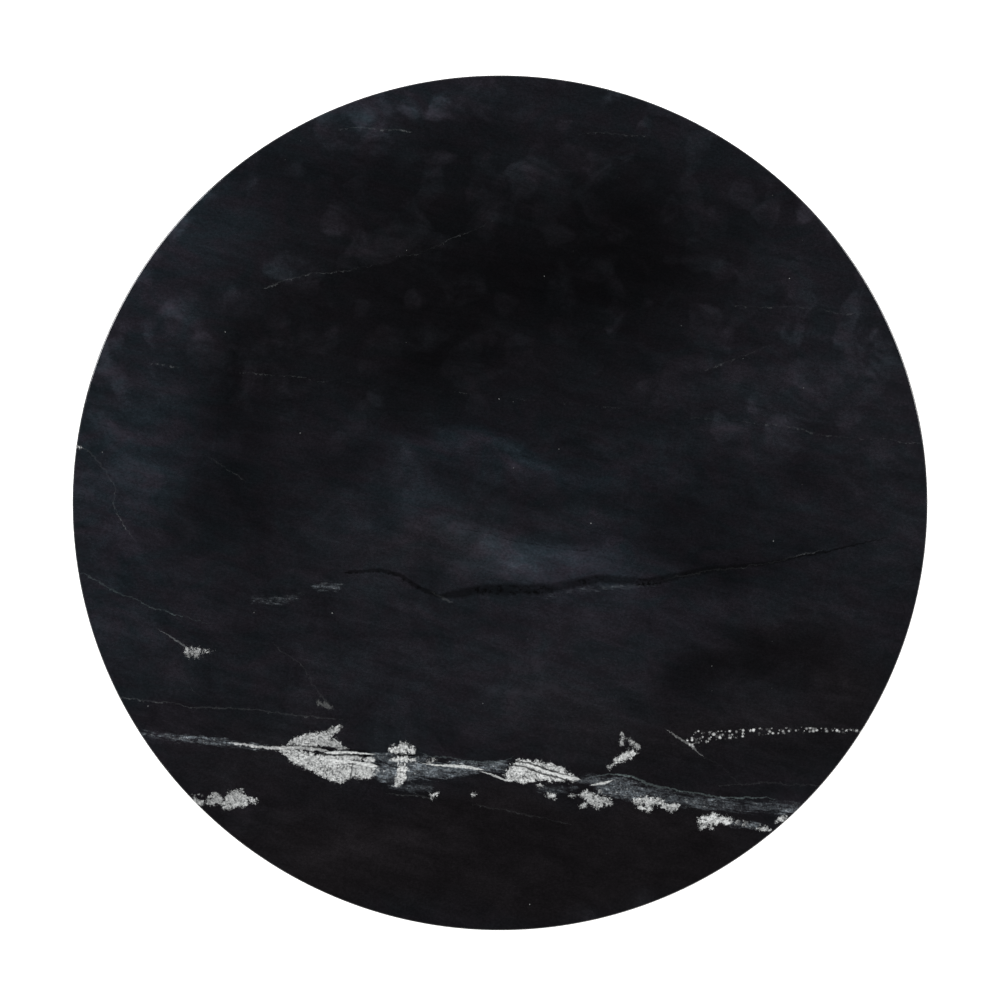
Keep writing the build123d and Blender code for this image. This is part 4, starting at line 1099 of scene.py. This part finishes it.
class PEDESTAL_OT_finishes(bpy.types.Operator):
    """Gives everything under the slab its finish"""

    bl_idname = "pedestal.finishes"
    bl_label = "Finishes"

    def execute(self, context):
        settings = context.scene.pedestal_underframe
        coats = {name: made_finish(name, settings.coat) for name in FINISHES}
        coats["resin_net"] = resin_net()
        coats["birch_plywood"] = birch_plywood()
        for part in frame["record"]["subparts"]:
            if part["material_slot"] in coats:
                paint([part["node"]], coats[part["material_slot"]])
        return {"FINISHED"}


class PEDESTAL_OT_tie_rod(bpy.types.Operator):
    """Makes the threaded tie rod through the column"""

    bl_idname = "pedestal.tie_rod"
    bl_label = "Tie rod"

    def execute(self, context):
        settings = context.scene.pedestal_underframe
        surface = threaded_tie_rod(ROD_LOW[2], ROD_HIGH[2], settings)
        zinc = bpy.data.materials["zinc_plated_steel"]
        make_piece("threaded_tie_rod", surface, zinc, TABLE, "tie_rod")
        return {"FINISHED"}


class PEDESTAL_OT_welds(bpy.types.Operator):
    """Makes the weld beads along the four arms' webs"""

    bl_idname = "pedestal.welds"
    bl_label = "Arm welds"

    def execute(self, context):
        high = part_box("support_arm_1")[1]
        web_half, web_inset = 4 * MM, 22 * MM
        hub_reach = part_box("hub_plate")[1][0]
        flange_under = high[2] - 8 * MM
        root, tip = hub_reach + 3 * MM, high[0] - web_inset - 22 * MM
        points, faces = weld_beads(root, tip, flange_under, web_half)
        beads = [(turned_about_z(points, quarter), faces) for quarter in range(4)]
        coat = bpy.data.materials["powder_coated_steel"]
        make_piece("arm_weld_beads", joined(beads), coat, TABLE)
        return {"FINISHED"}


class PEDESTAL_OT_feet(bpy.types.Operator):
    """Makes the studs, pads and soles of the levelling feet"""

    bl_idname = "pedestal.feet"
    bl_label = "Levelling feet"

    def execute(self, context):
        kinds = (
            ("stud", levelling_stud, "zinc_plated_steel", "foot_stud"),
            ("pad", fluted_pad, "nylon", "foot_pad"),
            ("sole", grooved_sole, "sole_rubber", "foot_pad"),
        )
        for number in FEET:
            for kind, shape, slot, body in kinds:
                node = f"leveller_{kind}_{number}"
                low, high = np.array(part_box(node))
                points, faces = shape(low[2], high[2], context.scene.pedestal_underframe)
                points = points + (*(low + high)[:2] / 2, 0)
                name = f"{kind}_of_foot_{number}"
                make_piece(name, (points, faces), bpy.data.materials[slot], f"{body}_{number}", node)
        return {"FINISHED"}


class PEDESTAL_OT_stage(bpy.types.Operator):
    """Sets up the floor, the lights and the camera"""

    bl_idname = "pedestal.stage"
    bl_label = "Studio"

    def execute(self, context):
        settings = context.scene.pedestal_stage
        scene = context.scene
        scene.view_settings.view_transform = "Standard"
        make_floor(settings)
        make_world(scene)
        make_area_light("key", (-2.6, 1.6, 2.3), 1.6, settings.key)
        make_area_light("fill", (2.7, 1.2, 2.0), 1.4, settings.fill)
        make_camera(scene, settings)
        return {"FINISHED"}


def make_floor(settings):
    """A round white floor that glows with painted light on top of the lamps' light. The glow is weak under
    the table, which leaves a painted soft shadow there, and stronger further out, so that it paints out the
    table's shadow and meets the white horizon without a line."""
    material, tree = new_material("backlit_white_acrylic")
    place = add(tree, "TexCoord", {}, {}).outputs["Object"]
    out = add(tree, "VectorMath", {"operation": "LENGTH"}, {0: place}).outputs["Value"]
    # Painted light: the floor's glow, weak under the table to paint a soft shadow there, and stronger
    # further out to paint out the table's shadow.
    under = {"From Min": 0.4, "From Max": 0.85, "To Min": 0.12, "To Max": 0.5}
    near = add(tree, "MapRange", {}, {"Value": out, **under})
    far = add(tree, "MapRange", {}, {"Value": out, "From Min": 1.2, "From Max": 4.5, "To Max": 0.5})
    power = add(tree, "Math", {"operation": "ADD"}, {0: near, 1: far})
    surface = add(tree, "BsdfDiffuse", {}, {"Color": (*settings.floor, 1)})
    painted_glow = add(tree, "Emission", {}, {"Color": (*settings.floor, 1), "Strength": power})
    both = add(tree, "AddShader", {}, {0: surface, 1: painted_glow})
    add(tree, "OutputMaterial", {}, {"Surface": both})
    around = np.linspace(0, 2 * math.pi, 128, endpoint=False)
    rim = np.stack([9 * np.cos(around), 9 * np.sin(around), 0 * around], axis=1)
    mesh = bpy.data.meshes.new("studio_floor")
    mesh.from_pydata(rim, [], [list(range(128))])
    mesh.materials.append(material)
    floor = bpy.data.objects.new("studio_floor", mesh)
    bpy.context.scene.collection.objects.link(floor)


def make_world(scene):
    """A room that is white at the horizon and dark overhead, so that the polished top mirrors a dark
    ceiling when it is seen from above."""
    world = bpy.data.worlds.new("studio")
    world.use_nodes = True
    tree = world.node_tree
    tree.nodes.clear()
    way = add(tree, "TexCoord", {}, {}).outputs["Generated"]
    rise = add(tree, "SeparateXYZ", {}, {"Vector": way}).outputs["Z"]
    strength = add(
        tree,
        "MapRange",
        {"interpolation_type": "SMOOTHSTEP"},
        {"Value": rise, "From Min": 0.25, "From Max": 0.85, "To Min": 1.02, "To Max": 0.02},
    )
    background = add(tree, "Background", {}, {"Color": (1, 1, 1, 1), "Strength": strength.outputs[0]})
    add(tree, "OutputWorld", {}, {"Surface": background})
    scene.world = world


def make_area_light(name, place, size, power):
    """A square soft light that points at the middle of the table and isn't seen itself."""
    light = bpy.data.lights.new(name, "AREA")
    light.size = size
    light.energy = power
    lamp = bpy.data.objects.new(name, light)
    bpy.context.scene.collection.objects.link(lamp)
    lamp.location = place
    aim = np.array((0, 0, SLAB_HIGH[2] * 0.7)) - place
    lamp.rotation_euler = to_direction(aim)
    lamp.visible_camera = False


def to_direction(aim):
    """The turn that points an object's -Z along a direction."""
    flat = math.hypot(aim[0], aim[1])
    return (math.atan2(flat, -aim[2]), 0, math.atan2(aim[0], -aim[1]) + math.pi if flat else 0)


def make_camera(scene, settings):
    """A camera straight above the slab, looking down, with +Y up the picture."""
    data = bpy.data.cameras.new("camera")
    data.lens = settings.lens
    camera = bpy.data.objects.new("camera", data)
    scene.collection.objects.link(camera)
    camera.location = (0, 0.004, SLAB_HIGH[2] + settings.distance)
    scene.camera = camera


class PEDESTAL_PT_panel(bpy.types.Panel):
    """The table's settings and the steps that make it"""

    bl_label = "Round pedestal table"
    bl_space_type = "VIEW_3D"
    bl_region_type = "UI"
    bl_category = "Table"

    def draw(self, context):
        scene = context.scene
        for group in (scene.pedestal_slab, scene.pedestal_underframe, scene.pedestal_stage):
            for name in group.__annotations__:
                self.layout.prop(group, name)
        for operator in OPERATORS:
            self.layout.operator(operator.bl_idname)


OPERATORS = (
    PEDESTAL_OT_slab,
    PEDESTAL_OT_finishes,
    PEDESTAL_OT_tie_rod,
    PEDESTAL_OT_welds,
    PEDESTAL_OT_feet,
    PEDESTAL_OT_stage,
)
CLASSES = (SlabSettings, UnderframeSettings, StageSettings, *OPERATORS, PEDESTAL_PT_panel)


def register():
    for cls in CLASSES:
        bpy.utils.register_class(cls)
    bpy.types.Scene.pedestal_slab = bpy.props.PointerProperty(type=SlabSettings)
    bpy.types.Scene.pedestal_underframe = bpy.props.PointerProperty(type=UnderframeSettings)
    bpy.types.Scene.pedestal_stage = bpy.props.PointerProperty(type=StageSettings)


def unregister():
    del bpy.types.Scene.pedestal_slab
    del bpy.types.Scene.pedestal_underframe
    del bpy.types.Scene.pedestal_stage
    for cls in reversed(CLASSES):
        bpy.utils.unregister_class(cls)


def main():
    register()
    bpy.ops.pedestal.slab()
    bpy.ops.pedestal.finishes()
    bpy.ops.pedestal.tie_rod()
    bpy.ops.pedestal.welds()
    bpy.ops.pedestal.feet()
    bpy.ops.pedestal.stage()


if __name__ == "__main__":
    main()
